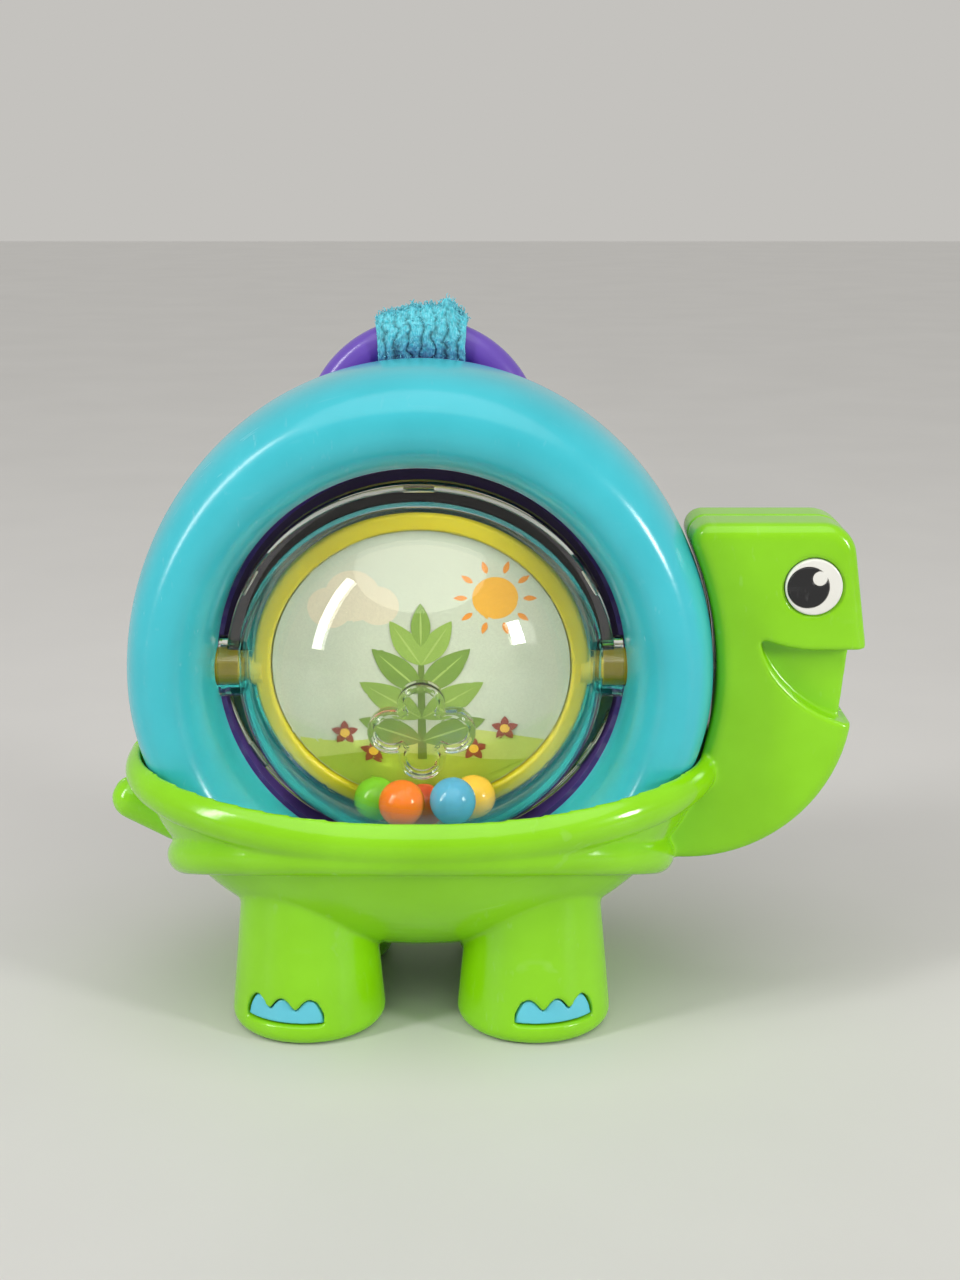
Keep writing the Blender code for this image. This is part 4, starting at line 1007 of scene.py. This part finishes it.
def head(side, steps=32):
    """Half of the head and neck, a slab with a rounded outer edge that closes along the shell."""
    chin = head_front - CHIN_SETBACK
    edge = SHELL_SIDE + FIT_GAP
    low_angle = math.asin((NECK_BOTTOM + 2 * HEAD_EDGE_ROUNDING) / edge)
    top_angle = math.asin((HEAD_TOP - 2 * HEAD_BACK_CORNER) / edge)
    beside_shell = []
    for k in range(steps + 1):
        angle = low_angle + (top_angle - low_angle) * k / steps
        radius = shell_outline(angle) + FIT_GAP
        beside_shell.append((radius * math.cos(angle), radius * math.sin(angle), 0))
    lower, upper = beside_shell[-2:]
    slope = (upper[0] - lower[0]) / (upper[1] - lower[1])
    outline = rounded(beside_shell + [
        (upper[0] + slope * (HEAD_TOP - upper[1]), HEAD_TOP, HEAD_BACK_CORNER),
        (head_front - HEAD_BROW_SETBACK, HEAD_TOP, HEAD_BROW_CORNER),
        (head_front, MOUTH_LIP_HEIGHT, 0),
        (chin, CHIN_HEIGHT, 0),
        (chin, NECK_BOTTOM, CHIN_HEIGHT - NECK_BOTTOM - FIT_GAP),
        (beside_shell[0][0], NECK_BOTTOM, 0),
    ], 20)
    mesh = bmesh.new()
    near = [mesh.verts.new((x, -side * BEYOND / 2, z)) for x, z in outline]
    far = [mesh.verts.new((x, side * HEAD_HALF_THICKNESS, z)) for x, z in outline]
    mesh.faces.new(near)
    face = mesh.faces.new(far[::-1])
    for k in range(len(outline)):
        following = (k + 1) % len(outline)
        mesh.faces.new((near[k], near[following], far[following], far[k]))
    bmesh.ops.recalc_face_normals(mesh, faces=mesh.faces)
    bmesh.ops.bevel(
        mesh, geom=list(face.edges), offset=HEAD_EDGE_ROUNDING, segments=6, profile=0.5,
        affect="EDGES", clamp_overlap=False,
    )
    return solid(mesh)


def prism(outline, start, end):
    """An outline of (x, z) points drawn out along Y."""
    return skin([[(x, y, z) for x, z in outline] for y in (start, end)])


def mouth(side, steps=24):
    """The smiling mouth: a recess in the face that opens at the front."""
    corner = head_front - MOUTH_LENGTH
    lip = MOUTH_LIP_HEIGHT
    chin = lip - MOUTH_DROP
    upper = []
    for k in range(steps // 2):
        rest = 1 - 2 * k / steps
        upper.append((corner + MOUTH_CURL * (1 - rest), lip + (MOUTH_CORNER_HEIGHT - lip) * rest ** 2))
    lower = []
    reach = (MOUTH_LENGTH - CHIN_SETBACK, MOUTH_CORNER_HEIGHT - chin)
    for k in range(1, steps + 1):
        across, down = squircle(math.pi / 2 * k / steps, *reach, MOUTH_SQUARENESS)
        lower.append((head_front - CHIN_SETBACK - across, MOUTH_CORNER_HEIGHT - down))
    outline = upper + [(head_front + BEYOND, lip), (head_front + BEYOND, chin)] + lower[::-1]
    return prism(outline, side * (HEAD_HALF_THICKNESS - MOUTH_DEPTH), side * (HEAD_HALF_THICKNESS + BEYOND))


def mouth_gape(side):
    """The part of the mouth that goes right through, in front of the recess."""
    chin = MOUTH_LIP_HEIGHT - MOUTH_DROP
    top = head_front - MOUTH_WEB_SETBACK
    ahead = head_front + BEYOND
    upper = [(top, MOUTH_LIP_HEIGHT), (ahead, MOUTH_LIP_HEIGHT)]
    outline = upper + [(ahead, chin), (top - MOUTH_WEB_SLANT, chin)]
    return prism(outline, -side * BEYOND, side * (HEAD_HALF_THICKNESS + BEYOND))


TOE_SPLAY = math.radians(17)
TOE_WIDTH = 15.0 * MM
TOE_BASE_HEIGHT = 4.3 * MM
TOE_SHOULDER = 2.1 * MM
TOE_SCALLOP = 2.4 * MM
TOE_COUNT = 3
TOE_DEPTH = 3.4 * MM
toe_pocket_floor = leg_radius(TOE_BASE_HEIGHT + TOE_SHOULDER + TOE_SCALLOP) - TOE_DEPTH


def toe_prism(side, end, grow, start):
    """The toes' scalloped outline drawn out along the leg's splayed radius."""
    outline = []
    half = TOE_WIDTH / 2 + grow
    points = 14 * TOE_COUNT
    for k in range(1, points):
        share = k / points
        arch = abs(math.sin(TOE_COUNT * math.pi * share))
        rounding = min(1.0, 2 * TOE_COUNT * min(share, 1 - share))
        shoulder = TOE_SHOULDER * math.sqrt(1 - (1 - rounding) ** 2)
        top = TOE_BASE_HEIGHT + shoulder + TOE_SCALLOP * arch + grow
        outline.append((half * (1 - 2 * share), top - STANDING_HEIGHT))
    base = TOE_BASE_HEIGHT - grow - STANDING_HEIGHT
    form = prism(outline + [(-half, base), (half, base)], side * start, side * (LEG_FOOT_RADIUS + BEYOND))
    form.data.transform(Matrix.Rotation(-side * end * TOE_SPLAY, 4, "Z"))
    form.data.transform(Matrix.Translation((end * LEG_SPACING, side * LEG_SETBACK, 0)))
    return form


leg_screw_height = -SHELL_BOTTOM * math.sqrt(1 - (LEG_SPACING / SHELL_SIDE) ** 2) - LEG_SCREW_DROP
body_screws = [
    (SHELL_SIDE + NECK_SCREW[0], NECK_SCREW[1], HEAD_HALF_THICKNESS),
    (SHELL_SIDE + HEAD_SCREW[0], HEAD_SCREW[1], HEAD_HALF_THICKNESS),
    (-LEG_SPACING, leg_screw_height, LEG_SETBACK + LEG_FOOT_RADIUS),
    (LEG_SPACING, leg_screw_height, LEG_SETBACK + LEG_FOOT_RADIUS),
]
lime = plastic("lime_gloss", linear(140, 214, 0), 0.16)
eye_x = head_front - EYE_SETBACK
for side, word in SIDES:
    added = [bowl(side), roll(side, **SKIRT), roll(side, **RIM), tail(), head(side)]
    seat = side * (HEAD_HALF_THICKNESS - EYE_SEAT_DEPTH)
    outside = side * (HEAD_HALF_THICKNESS + BEYOND)
    removed = [shell_room(side), mouth(side), mouth_gape(side), other_side(side)]
    removed.append(bar(eye_x, EYE_HEIGHT, seat, outside, EYE_RADIUS + HALF_GAP))
    for end in (-1, 1):
        added.append(leg(side, end))
        boss = (-side * BEYOND / 3, side * LEG_SETBACK, BOSS_RADIUS)
        added.append(bar(end * LEG_SPACING, leg_screw_height, *boss))
        removed.append(toe_prism(side, end, FIT_GAP, toe_pocket_floor))
    for x, z, back_face in body_screws:
        removed += screw_hole(side, x, z, back_face)
    body = moulded(cut(join(*added), *removed), BODY_GRAIN, BODY_SOFTNESS)
    thinned = body.modifiers.new("thinned", "DECIMATE")
    thinned.ratio = min(1.0, BODY_FACES / (2 * len(body.data.polygons)))
    bake(body)
    dress(body, on_toy, lime, "toy", "green_plastic", f"body_{word}", sharp=0)

# Toes
# Four light-blue rows of three toes, pressed into pockets in the feet and sunk a little below the leg.
# Satin plastic with softened edges.
TOE_SINK = 0.5 * MM
TOE_GRAIN = 0.24 * MM
TOE_SOFTNESS = 2
toe_surface = plastic("toe_satin", linear(98, 202, 226), 0.34)
for side, word in SIDES:
    for end, place in ((-1, "tail_end"), (1, "head_end")):
        toes = toe_prism(side, end, 0, toe_pocket_floor + FIT_GAP)
        low = (end * LEG_SPACING, side * LEG_SETBACK, -STANDING_HEIGHT)
        high = (end * LEG_SPACING, side * LEG_SETBACK, LEG_HEIGHT - STANDING_HEIGHT)
        leg_skin = rod(low, high, LEG_FOOT_RADIUS - TOE_SINK, 120, LEG_TOP_RADIUS - TOE_SINK)
        moulded(combine(toes, [leg_skin], "INTERSECT"), TOE_GRAIN, TOE_SOFTNESS)
        dress(toes, on_toy, toe_surface, "toy", "toe_plastic", f"toes_{word}_{place}", sharp=0)

# Eyes
# A white button pressed into a seat on each side of the head, with a black pupil let into it.
# The bite out of the pupil leaves a white glint; both are glossy plastic.
EYE_PROUD = 0.4 * MM
PUPIL_RADIUS = 3.8 * MM
PUPIL_SHIFT = 1.1 * MM
PUPIL_DEPTH = 0.7 * MM
GLINT_RADIUS = 1.5 * MM
GLINT_OFFSET = (2.1 * MM, 1.7 * MM)
PUPIL_GRAIN = 0.12 * MM
PUPIL_SOFTNESS = 2
eye_face = HEAD_HALF_THICKNESS + EYE_PROUD


def pupil_form(side, grow, start, end):
    """The pupil's round outline with the glint bitten out of it."""
    x = eye_x - PUPIL_SHIFT
    form = bar(x, EYE_HEIGHT, side * start, side * end, PUPIL_RADIUS + grow, 96)
    glint = (x + GLINT_OFFSET[0], EYE_HEIGHT + GLINT_OFFSET[1])
    return cut(form, bar(*glint, side * (start - BEYOND), side * (end + BEYOND), GLINT_RADIUS - grow, 64))


eye_white = plastic("eye_white_gloss", linear(238, 236, 228), 0.2, wear=0.15)
eye_black = plastic("eye_black_gloss", linear(22, 22, 24), 0.18, wear=0.1)
for side, word in SIDES:
    seat = HEAD_HALF_THICKNESS - EYE_SEAT_DEPTH + FIT_GAP
    edge = quarter_round(EYE_PROUD, 6)[::-1]
    profile = [(0, seat), (EYE_RADIUS, seat)]
    profile += [(EYE_RADIUS - inset, eye_face - drop) for inset, drop in edge]
    button = turned([(radius, side * y) for radius, y in profile + [(0, eye_face)]], 96)
    button.data.transform(Matrix.Translation((eye_x, 0, EYE_HEIGHT)))
    cut(button, pupil_form(side, HALF_GAP, eye_face - PUPIL_DEPTH, eye_face + BEYOND))
    dress(button, on_toy, eye_white, "toy", "white_plastic", f"eye_{word}", sharp=35)
    pupil = pupil_form(side, 0, eye_face - PUPIL_DEPTH + FIT_GAP, eye_face + HALF_GAP)
    moulded(pupil, PUPIL_GRAIN, PUPIL_SOFTNESS)
    dress(pupil, on_toy, eye_black, "toy", "black_plastic", f"pupil_{word}", sharp=0)

# Screws
# Eight cross-headed steel screws, sunk in wells in the back halves of the shell and the body.
# One screw is made by nodes and set at each place, each stopped at a turn of its own.
SCREW_HEAD_THICKNESS = 1.8 * MM
SCREW_SHANK_RADIUS = 1.3 * MM
HEAD_DRAW = 0.22
RECESS_REACH = 1.15
RECESS_WIDTH = 0.26
RECESS_DEPTH = 1.3
THREAD_CORE = 0.84
THREAD_WIRE = 0.16
THREAD_TURNS = 9.0


def screw_tree():
    """Geometry nodes for a cross-headed screw set at every point of the mesh."""
    tree, given = tree_with(
        "set_screws", Geometry="Geometry", Head_Radius="Float", Head_Thickness="Float",
        Shank_Radius="Float", Shank_Length="Float", Surface="Material",
    )
    thickness = given["Head Thickness"]
    length = given["Shank Length"]

    def times(value, factor):
        return figure(tree, "MULTIPLY", value, factor)

    def moved_up(shape, height):
        lift = add(tree, "ShaderNodeCombineXYZ", Z=height).outputs[0]
        return add(tree, "GeometryNodeTransform", Geometry=shape, Translation=lift).outputs[0]

    head = add(
        tree, "GeometryNodeMeshCylinder", Vertices=40, Side_Segments=10, Fill_Segments=6,
        Radius=given["Head Radius"], Depth=thickness,
    )
    spot = add(tree, "GeometryNodeInputPosition").outputs[0]
    height = add(tree, "ShaderNodeSeparateXYZ", Vector=spot).outputs["Z"]
    share = figure(tree, "ADD", figure(tree, "DIVIDE", height, thickness), 0.5)
    dome = figure(tree, "SUBTRACT", 1.0, times(figure(tree, "POWER", share, 4.0), HEAD_DRAW))
    drawn_in = add(tree, "ShaderNodeCombineXYZ", X=dome, Y=dome, Z=1.0).outputs[0]
    domed = add(tree, "ShaderNodeVectorMath", {"operation": "MULTIPLY"}, spot, drawn_in).outputs[0]
    pan = add(tree, "GeometryNodeSetPosition", Geometry=head.outputs["Mesh"], Position=domed).outputs[0]
    pan = moved_up(pan, times(thickness, 0.5))
    long_arm = times(given["Head Radius"], RECESS_REACH)
    short_arm = times(given["Head Radius"], RECESS_WIDTH)
    deep = times(thickness, RECESS_DEPTH)
    arms = []
    for across, along in ((long_arm, short_arm), (short_arm, long_arm)):
        size = add(tree, "ShaderNodeCombineXYZ", X=across, Y=along, Z=deep).outputs[0]
        bar = add(tree, "GeometryNodeMeshCube", Size=size).outputs["Mesh"]
        arms.append(moved_up(bar, thickness))
    crossed = add(tree, "GeometryNodeMeshBoolean", {"operation": "DIFFERENCE", "solver": "EXACT"})
    feed(tree, crossed, Mesh_1=pan, Mesh_2=gathered(tree, *arms), Self_Intersection=True)
    core = times(given["Shank Radius"], THREAD_CORE)
    shank = add(tree, "GeometryNodeMeshCylinder", Vertices=24, Radius=core, Depth=length).outputs["Mesh"]
    thread = add(
        tree, "GeometryNodeCurveSpiral", Resolution=20, Rotations=THREAD_TURNS,
        Start_Radius=core, End_Radius=core, Height=length,
    )
    thin = times(given["Shank Radius"], THREAD_WIRE)
    wire = add(tree, "GeometryNodeCurvePrimitiveCircle", Resolution=5, Radius=thin)
    thread = add(
        tree, "GeometryNodeCurveToMesh", Curve=thread.outputs[0], Profile_Curve=wire.outputs[0],
        Fill_Caps=True,
    )
    whole = gathered(
        tree, crossed.outputs["Mesh"], moved_up(shank, times(length, -0.5)),
        moved_up(thread.outputs[0], times(length, -1.0)),
    )
    turn = add(tree, "GeometryNodeInputNamedAttribute", {"data_type": "FLOAT_VECTOR"}, Name="turn")
    set_out = add(
        tree, "GeometryNodeInstanceOnPoints", Points=given["Geometry"], Instance=whole,
        Rotation=turn.outputs[0],
    )
    return ended(tree, set_out.outputs[0], given["Surface"])


def steel(name):
    """Zinc-plated steel: bright and a little mottled."""
    surface, tree, shader, place = finish_of(name)
    spangle = mottle(tree, place, 900.0, 4.0)
    hue = mixed(tree, spangle, linear(164, 166, 170), linear(206, 206, 204))
    gloss = graded(tree, spangle, 0.3, 0.7, 0.24, 0.42)
    feed(tree, shader, Base_Color=hue, Roughness=gloss, Metallic=1.0)
    return surface


chance = random.Random(7)
mesh = bmesh.new()
turn_layer = mesh.verts.layers.float_vector.new("turn")
for x, z in shell_screws + [place[:2] for place in body_screws]:
    vertex = mesh.verts.new((x, SCREW_SEAT + FIT_GAP, z))
    vertex[turn_layer] = (-math.pi / 2, chance.uniform(0, math.pi), 0)
screw_steel = steel("zinc_steel")
screws = grown(screw_tree(), solid(mesh), **{
    "Head Radius": SCREW_HEAD_RADIUS, "Head Thickness": SCREW_HEAD_THICKNESS,
    "Shank Radius": SCREW_SHANK_RADIUS, "Shank Length": SCREW_BITE + SCREW_SEAT + FIT_GAP,
    "Surface": screw_steel,
})
numbered = [f"{half}_screw_{k}" for half in ("shell", "body") for k in (1, 2, 3, 4)]
dress(screws, on_toy, screw_steel, "toy", "screw_steel", *numbered, name="set_screws", sharp=30)

# Hanging strap
# A short band of chunky ribbed tape, folded round the loop with both cut ends standing up together.
# Fluffy teal yarn: cords along its length, pits between them, and a frayed nap grown by nodes.
STRAP_WIDTH = 16.7 * MM
STRAP_THICKNESS = 1.2 * MM
STRAP_CORDS = 7
STRAP_FLARE = 0.06
STRAP_EDGE = 0.7 * MM
STRAP_SWAY = 0.25 * MM
SELVEDGE = 0.35
YARN_LEVEL = 0.8
RAGGED_HEIGHT = 1.2 * MM
TUFT_PLACE = 0.8
TUFT_WIDTH = 0.1
TUFT_HEIGHT = 1.5
LOOSE_SPAN = 0.24
FRAYED_SPAN = 0.05
FRAYED_LEAST = 0.16
FRAYED_LIFT = 1.6
UPRIGHT_FROM = 0.6
CORD_RELIEF = 0.45 * MM
STRAP_TAB_HEIGHT = 5.3 * MM
STRAP_TAB_LEAN = 1.1 * MM
NAP_LENGTH = 0.8 * MM
NAP_RADIUS = 0.08 * MM
NAP_DENSITY = 4.0e6


def strap_path(steps):
    """The fold's middle line as (y, z) about the loop's wire, from the front end to the back end."""
    radius = LOOP_WIRE_RADIUS + FIT_GAP + STRAP_THICKNESS / 2
    lean = math.radians(142)
    points = [Vector((-STRAP_TAB_LEAN, STRAP_TAB_HEIGHT))]
    for k in range(steps + 1):
        angle = lean + (math.tau + math.pi - 2 * lean) * k / steps
        points.append(Vector((radius * math.cos(angle), radius * math.sin(angle))))
    points.append(Vector((STRAP_TAB_LEAN, STRAP_TAB_HEIGHT)))
    lengths = [(b - a).length for a, b in zip(points, points[1:])]
    return points, lengths


def along_path(points, lengths, share):
    """The place and the outward direction at a share of the fold's length."""
    rest = share * sum(lengths)
    for a, b, length in zip(points, points[1:], lengths):
        if rest <= length or b is points[-1]:
            ahead = (b - a).normalized()
            return a + ahead * rest, Vector((ahead.y, -ahead.x))
        rest -= length


def yarn(across, along, face, loose):
    """How far the yarn stands out at a place on the tape, from 0 to 1. Loose yarn hides the cords."""
    wobble = noise.noise(Vector((across * 9, along * 14, face))) * 0.45
    cord = abs(math.cos(math.pi * (STRAP_CORDS * across + wobble)))
    slub = 0.5 + 0.5 * noise.noise(Vector((across * 16, along * 30, 5 + face)))
    fluff = noise.noise(Vector((across * 60, along * 100, 9 + face)))
    clump = noise.noise(Vector((across * 26, along * 44, 13 + face)))
    corded = cord ** 0.7 * (0.5 + 0.5 * slub) + 0.3 * clump
    return max(0.0, corded + (0.62 + 0.6 * clump - corded) * 0.8 * loose + 0.2 * fluff)


def strap_sheet(across_steps=132, along_steps=190):
    """The folded tape, closed, with its UV along the yarn and a map of where it is frayed."""
    points, lengths = strap_path(60)
    mesh = bmesh.new()
    frayed = mesh.verts.layers.float.new("frayed")
    standing = mesh.verts.layers.float.new("standing")
    lie = mesh.verts.layers.float_vector.new("lie")
    uv = mesh.loops.layers.uv.new("tape")
    faces = []
    for face in (1, -1):
        grid = []
        for k in range(along_steps + 1):
            row = []
            share = k / along_steps
            place, outward = along_path(points, lengths, share)
            from_end = min(share, 1 - share)
            ends = max(0.0, 1 - from_end / LOOSE_SPAN)
            sway = STRAP_SWAY * noise.noise(Vector((share * 8, face, 2.0)))
            normal = Vector((0, outward.x * face, outward.y * face))
            for n in range(across_steps + 1):
                u = n / across_steps
                ragged = noise.noise(Vector((u * 6, 3, share > 0.5)))
                ragged += TUFT_HEIGHT * math.exp(-((u - TUFT_PLACE) / TUFT_WIDTH) ** 2)
                x = STRAP_WIDTH * (u - 0.5) * (1 + STRAP_FLARE * ends)
                height = yarn(u, share, face, ends)
                thick = STRAP_THICKNESS / 2 + CORD_RELIEF * (height - YARN_LEVEL)
                edge = min(1.0, min(u, 1 - u) * STRAP_WIDTH / STRAP_EDGE)
                thick *= SELVEDGE + (1 - SELVEDGE) * math.sqrt(edge)
                spot = place + outward * thick * face
                rise = math.sqrt(LOOP_RADIUS ** 2 - x ** 2)
                lift = spot.y + ends * ragged * RAGGED_HEIGHT
                vertex = mesh.verts.new((x + sway, LOOP_SETBACK + spot.x, loop_height + rise + lift))
                vertex[frayed] = FRAYED_LEAST + (1 - FRAYED_LEAST) * max(0.0, 1 - from_end / FRAYED_SPAN)
                vertex[standing] = height
                vertex[lie] = normal + Vector((0, 0, FRAYED_LIFT)) * (ends > UPRIGHT_FROM)
                row.append((vertex, (u, share)))
            grid.append(row)
        faces.append(grid)
    front, back = faces

    def patch(corners):
        made = mesh.faces.new([corner[0] for corner in corners])
        for loop, corner in zip(made.loops, corners):
            loop[uv].uv = corner[1]

    for grid in faces:
        for a, b in zip(grid, grid[1:]):
            for n in range(across_steps):
                patch((a[n], a[n + 1], b[n + 1], b[n]))
    for n in range(across_steps):
        for k in (0, -1):
            patch((front[k][n], front[k][n + 1], back[k][n + 1], back[k][n]))
    for k in range(along_steps):
        for n in (0, -1):
            patch((front[k][n], front[k + 1][n], back[k + 1][n], back[k][n]))
    return solid(mesh), sum(lengths)


def nap_tree():
    """Geometry nodes for loose curled fibres, thickest where the yarn is frayed."""
    tree, given = tree_with(
        "frayed_nap", Geometry="Geometry", Fibres="Float", Length="Float", Radius="Float", Surface="Material")

    def mapped(name, kind):
        return add(tree, "GeometryNodeInputNamedAttribute", {"data_type": kind}, Name=name).outputs[0]

    def chosen(kind, **limits):
        return add(tree, "FunctionNodeRandomValue", {"data_type": kind}, **limits)

    frayed = mapped("frayed", "FLOAT")
    density = figure(tree, "MULTIPLY", frayed, given["Fibres"])
    seeds = add(
        tree, "GeometryNodeDistributePointsOnFaces", Mesh=given["Geometry"], Density=density, Seed=3)
    curl = add(
        tree, "GeometryNodeCurveQuadraticBezier", Resolution=5,
        Start=(0, 0, -0.15), Middle=(0.35, 0.1, 0.75), End=(-0.1, -0.3, 1.0),
    )
    size = add(tree, "ShaderNodeCombineXYZ", None, *[given["Length"]] * 3).outputs[0]
    fibre = add(tree, "GeometryNodeTransform", Geometry=curl.outputs[0], Scale=size)
    ring = add(tree, "GeometryNodeCurvePrimitiveCircle", Resolution=4, Radius=given["Radius"])
    fibre = add(
        tree, "GeometryNodeCurveToMesh", Curve=fibre.outputs[0], Profile_Curve=ring.outputs[0],
        Fill_Caps=True,
    )
    jitter = chosen("FLOAT_VECTOR", Min=(-0.9,) * 3, Max=(0.9,) * 3).outputs["Value"]
    leaning = add(
        tree, "ShaderNodeVectorMath", {"operation": "ADD"}, mapped("lie", "FLOAT_VECTOR"), jitter)
    stand = add(tree, "FunctionNodeAlignRotationToVector", {"axis": "Z"}, Vector=leaning.outputs[0])
    spin = chosen("FLOAT_VECTOR", Max=(0, 0, math.tau), Seed=4).outputs["Value"]
    spun = add(
        tree, "FunctionNodeRotateRotation", {"rotation_space": "LOCAL"}, Rotation=stand.outputs[0],
        Rotate_By=spin,
    )
    longer = chosen("FLOAT", Seed=8)
    longer.inputs[2].default_value = 0.5
    tree.links.new(graded(tree, frayed, FRAYED_LEAST, 1.0, 0.9, 1.3), longer.inputs[3])
    grown_out = add(
        tree, "GeometryNodeInstanceOnPoints", Points=seeds.outputs["Points"], Instance=fibre.outputs[0],
        Rotation=spun.outputs[0], Scale=longer.outputs[1],
    )
    return ended(tree, grown_out.outputs[0], given["Surface"])


def yarn_surface(name, colour, mapped):
    """Soft dyed yarn: streaky along the fibres, with painted shade in the pits, and a pale sheen."""
    surface, tree, shader, place = finish_of(name)
    if mapped:
        place = stretched(tree, add(tree, "ShaderNodeTexCoord").outputs["UV"], Scale=(90, 26, 1))
    else:
        place = stretched(tree, place, Scale=(1500,) * 3)
    streak = mottle(tree, place, 1.0, 4.0)
    shade = graded(tree, streak, 0.3, 0.7, 0.0, 1.0)
    hue = mixed(tree, shade, tinted(colour, 0.28, BLACK), tinted(colour, 0.22, WHITE))
    if mapped:
        # Painted shade in the pits: the colour is darkened where the yarn stands low between the cords.
        standing = add(tree, "ShaderNodeAttribute", {"attribute_name": "standing"}).outputs["Fac"]
        hue = mixed(tree, 1.0, hue, graded(tree, standing, 0.1, 0.75, 0.3, 1.0), "MULTIPLY")
    dull = graded(tree, streak, 0.3, 0.7, 0.8, 0.98)
    relief = add(tree, "ShaderNodeBump", Strength=0.4, Distance=0.0001, Height=streak).outputs[0]
    feed(tree, shader, Base_Color=hue, Roughness=dull, Normal=relief, Sheen_Weight=0.15, Sheen_Roughness=0.5)
    return surface


teal = linear(36, 210, 228)
strap_yarn = yarn_surface("teal_yarn", teal, mapped=True)
nap_yarn = yarn_surface("teal_nap", tinted(teal, 0.06, WHITE), mapped=False)
tape, tape_length = strap_sheet()
nap = tape.copy()
nap.data = tape.data.copy()
bpy.context.scene.collection.objects.link(nap)
grown(nap_tree(), nap, Fibres=NAP_DENSITY, Length=NAP_LENGTH, Radius=NAP_RADIUS, Surface=nap_yarn)
dress(tape, on_toy, strap_yarn, "toy", "strap_fabric", "hanging_strap", sharp=0)
dress(nap, on_toy, nap_yarn, "toy", "strap_fabric", name="strap_nap", sharp=0)

# Floor, light and camera
# A pale floor under soft light from both sides of the camera, as in a small studio.
# The world gives an even fill, and shows pale behind the toy and in its reflections.
FLOOR_SIZE = 6.0
CAMERA_PLACE = (11.24 * MM, -356.0 * MM, 97.2 * MM)
CAMERA_DIP = math.radians(14.5)
LAMPS = (
    ("left_lamp", (-0.80, -0.46, 0.46), (0.12, 0.75), 2.37),
    ("right_lamp", (0.78, -0.48, 0.26), (0.14, 0.2), 1.66),
)
LAMP_SPREAD = math.radians(120)
SUN_STRENGTH = 1.5
SUN_WIDTH = math.radians(70)
SUN_LEAN = math.radians(22)
SENSOR_WIDTH = 36.0
LENS = 72.0
NEAREST = 0.01
FILL = 0.25
BACKDROP = linear(196, 194, 190)
scene = bpy.context.scene
scene.view_settings.view_transform = "Standard"
mesh = bmesh.new()
bmesh.ops.create_grid(mesh, x_segments=1, y_segments=1, size=FLOOR_SIZE / 2)
floor = solid(mesh)
floor.name = "floor"
floor_surface, tree, shader, place = finish_of("pale_floor")
tone = mixed(tree, mottle(tree, place, 14.0, 5.0), linear(202, 200, 196), linear(212, 210, 206))
feed(tree, shader, Base_Color=tone, Roughness=0.6)
floor.data.materials.append(floor_surface)


def set_up(data, place, turn):
    """Stand a lamp or the camera in the studio."""
    thing = bpy.data.objects.new(data.name, data)
    scene.collection.objects.link(thing)
    thing.location = place
    thing.rotation_euler = turn
    return thing


for name, offset, size, power in LAMPS:
    lamp = bpy.data.lights.new(name, "AREA")
    lamp.shape = "RECTANGLE"
    lamp.size = size[0]
    lamp.size_y = size[1]
    lamp.spread = LAMP_SPREAD
    lamp.energy = power
    aim = (-Vector(offset)).to_track_quat("-Z", "Y").to_euler()
    set_up(lamp, ball_middle + Vector(offset), aim)
sun = bpy.data.lights.new("ceiling_light", "SUN")
sun.energy = SUN_STRENGTH
sun.angle = SUN_WIDTH
set_up(sun, (0, 0, 0), (SUN_LEAN, 0, 0))
world = bpy.data.worlds.new("studio")
scene.world = world
world.use_nodes = True
tree = world.node_tree
fill = feed(tree, tree.nodes["Background"], Color=(1.0, 0.99, 0.97, 1.0), Strength=FILL).outputs[0]
shown = add(tree, "ShaderNodeBackground", Color=BACKDROP).outputs[0]
ray = add(tree, "ShaderNodeLightPath").outputs
mirrored = figure(tree, "MAXIMUM", ray["Is Camera Ray"], ray["Is Glossy Ray"])
seen = figure(tree, "MAXIMUM", mirrored, ray["Is Transmission Ray"])
both = add(tree, "ShaderNodeMixShader", None, seen, fill, shown).outputs[0]
feed(tree, tree.nodes["World Output"], Surface=both)
lens = bpy.data.cameras.new("view")
lens.sensor_fit = "HORIZONTAL"
lens.sensor_width = SENSOR_WIDTH
lens.lens = LENS
lens.clip_start = NEAREST
scene.camera = set_up(lens, ball_middle + Vector(CAMERA_PLACE), (math.pi / 2 - CAMERA_DIP, 0, 0))
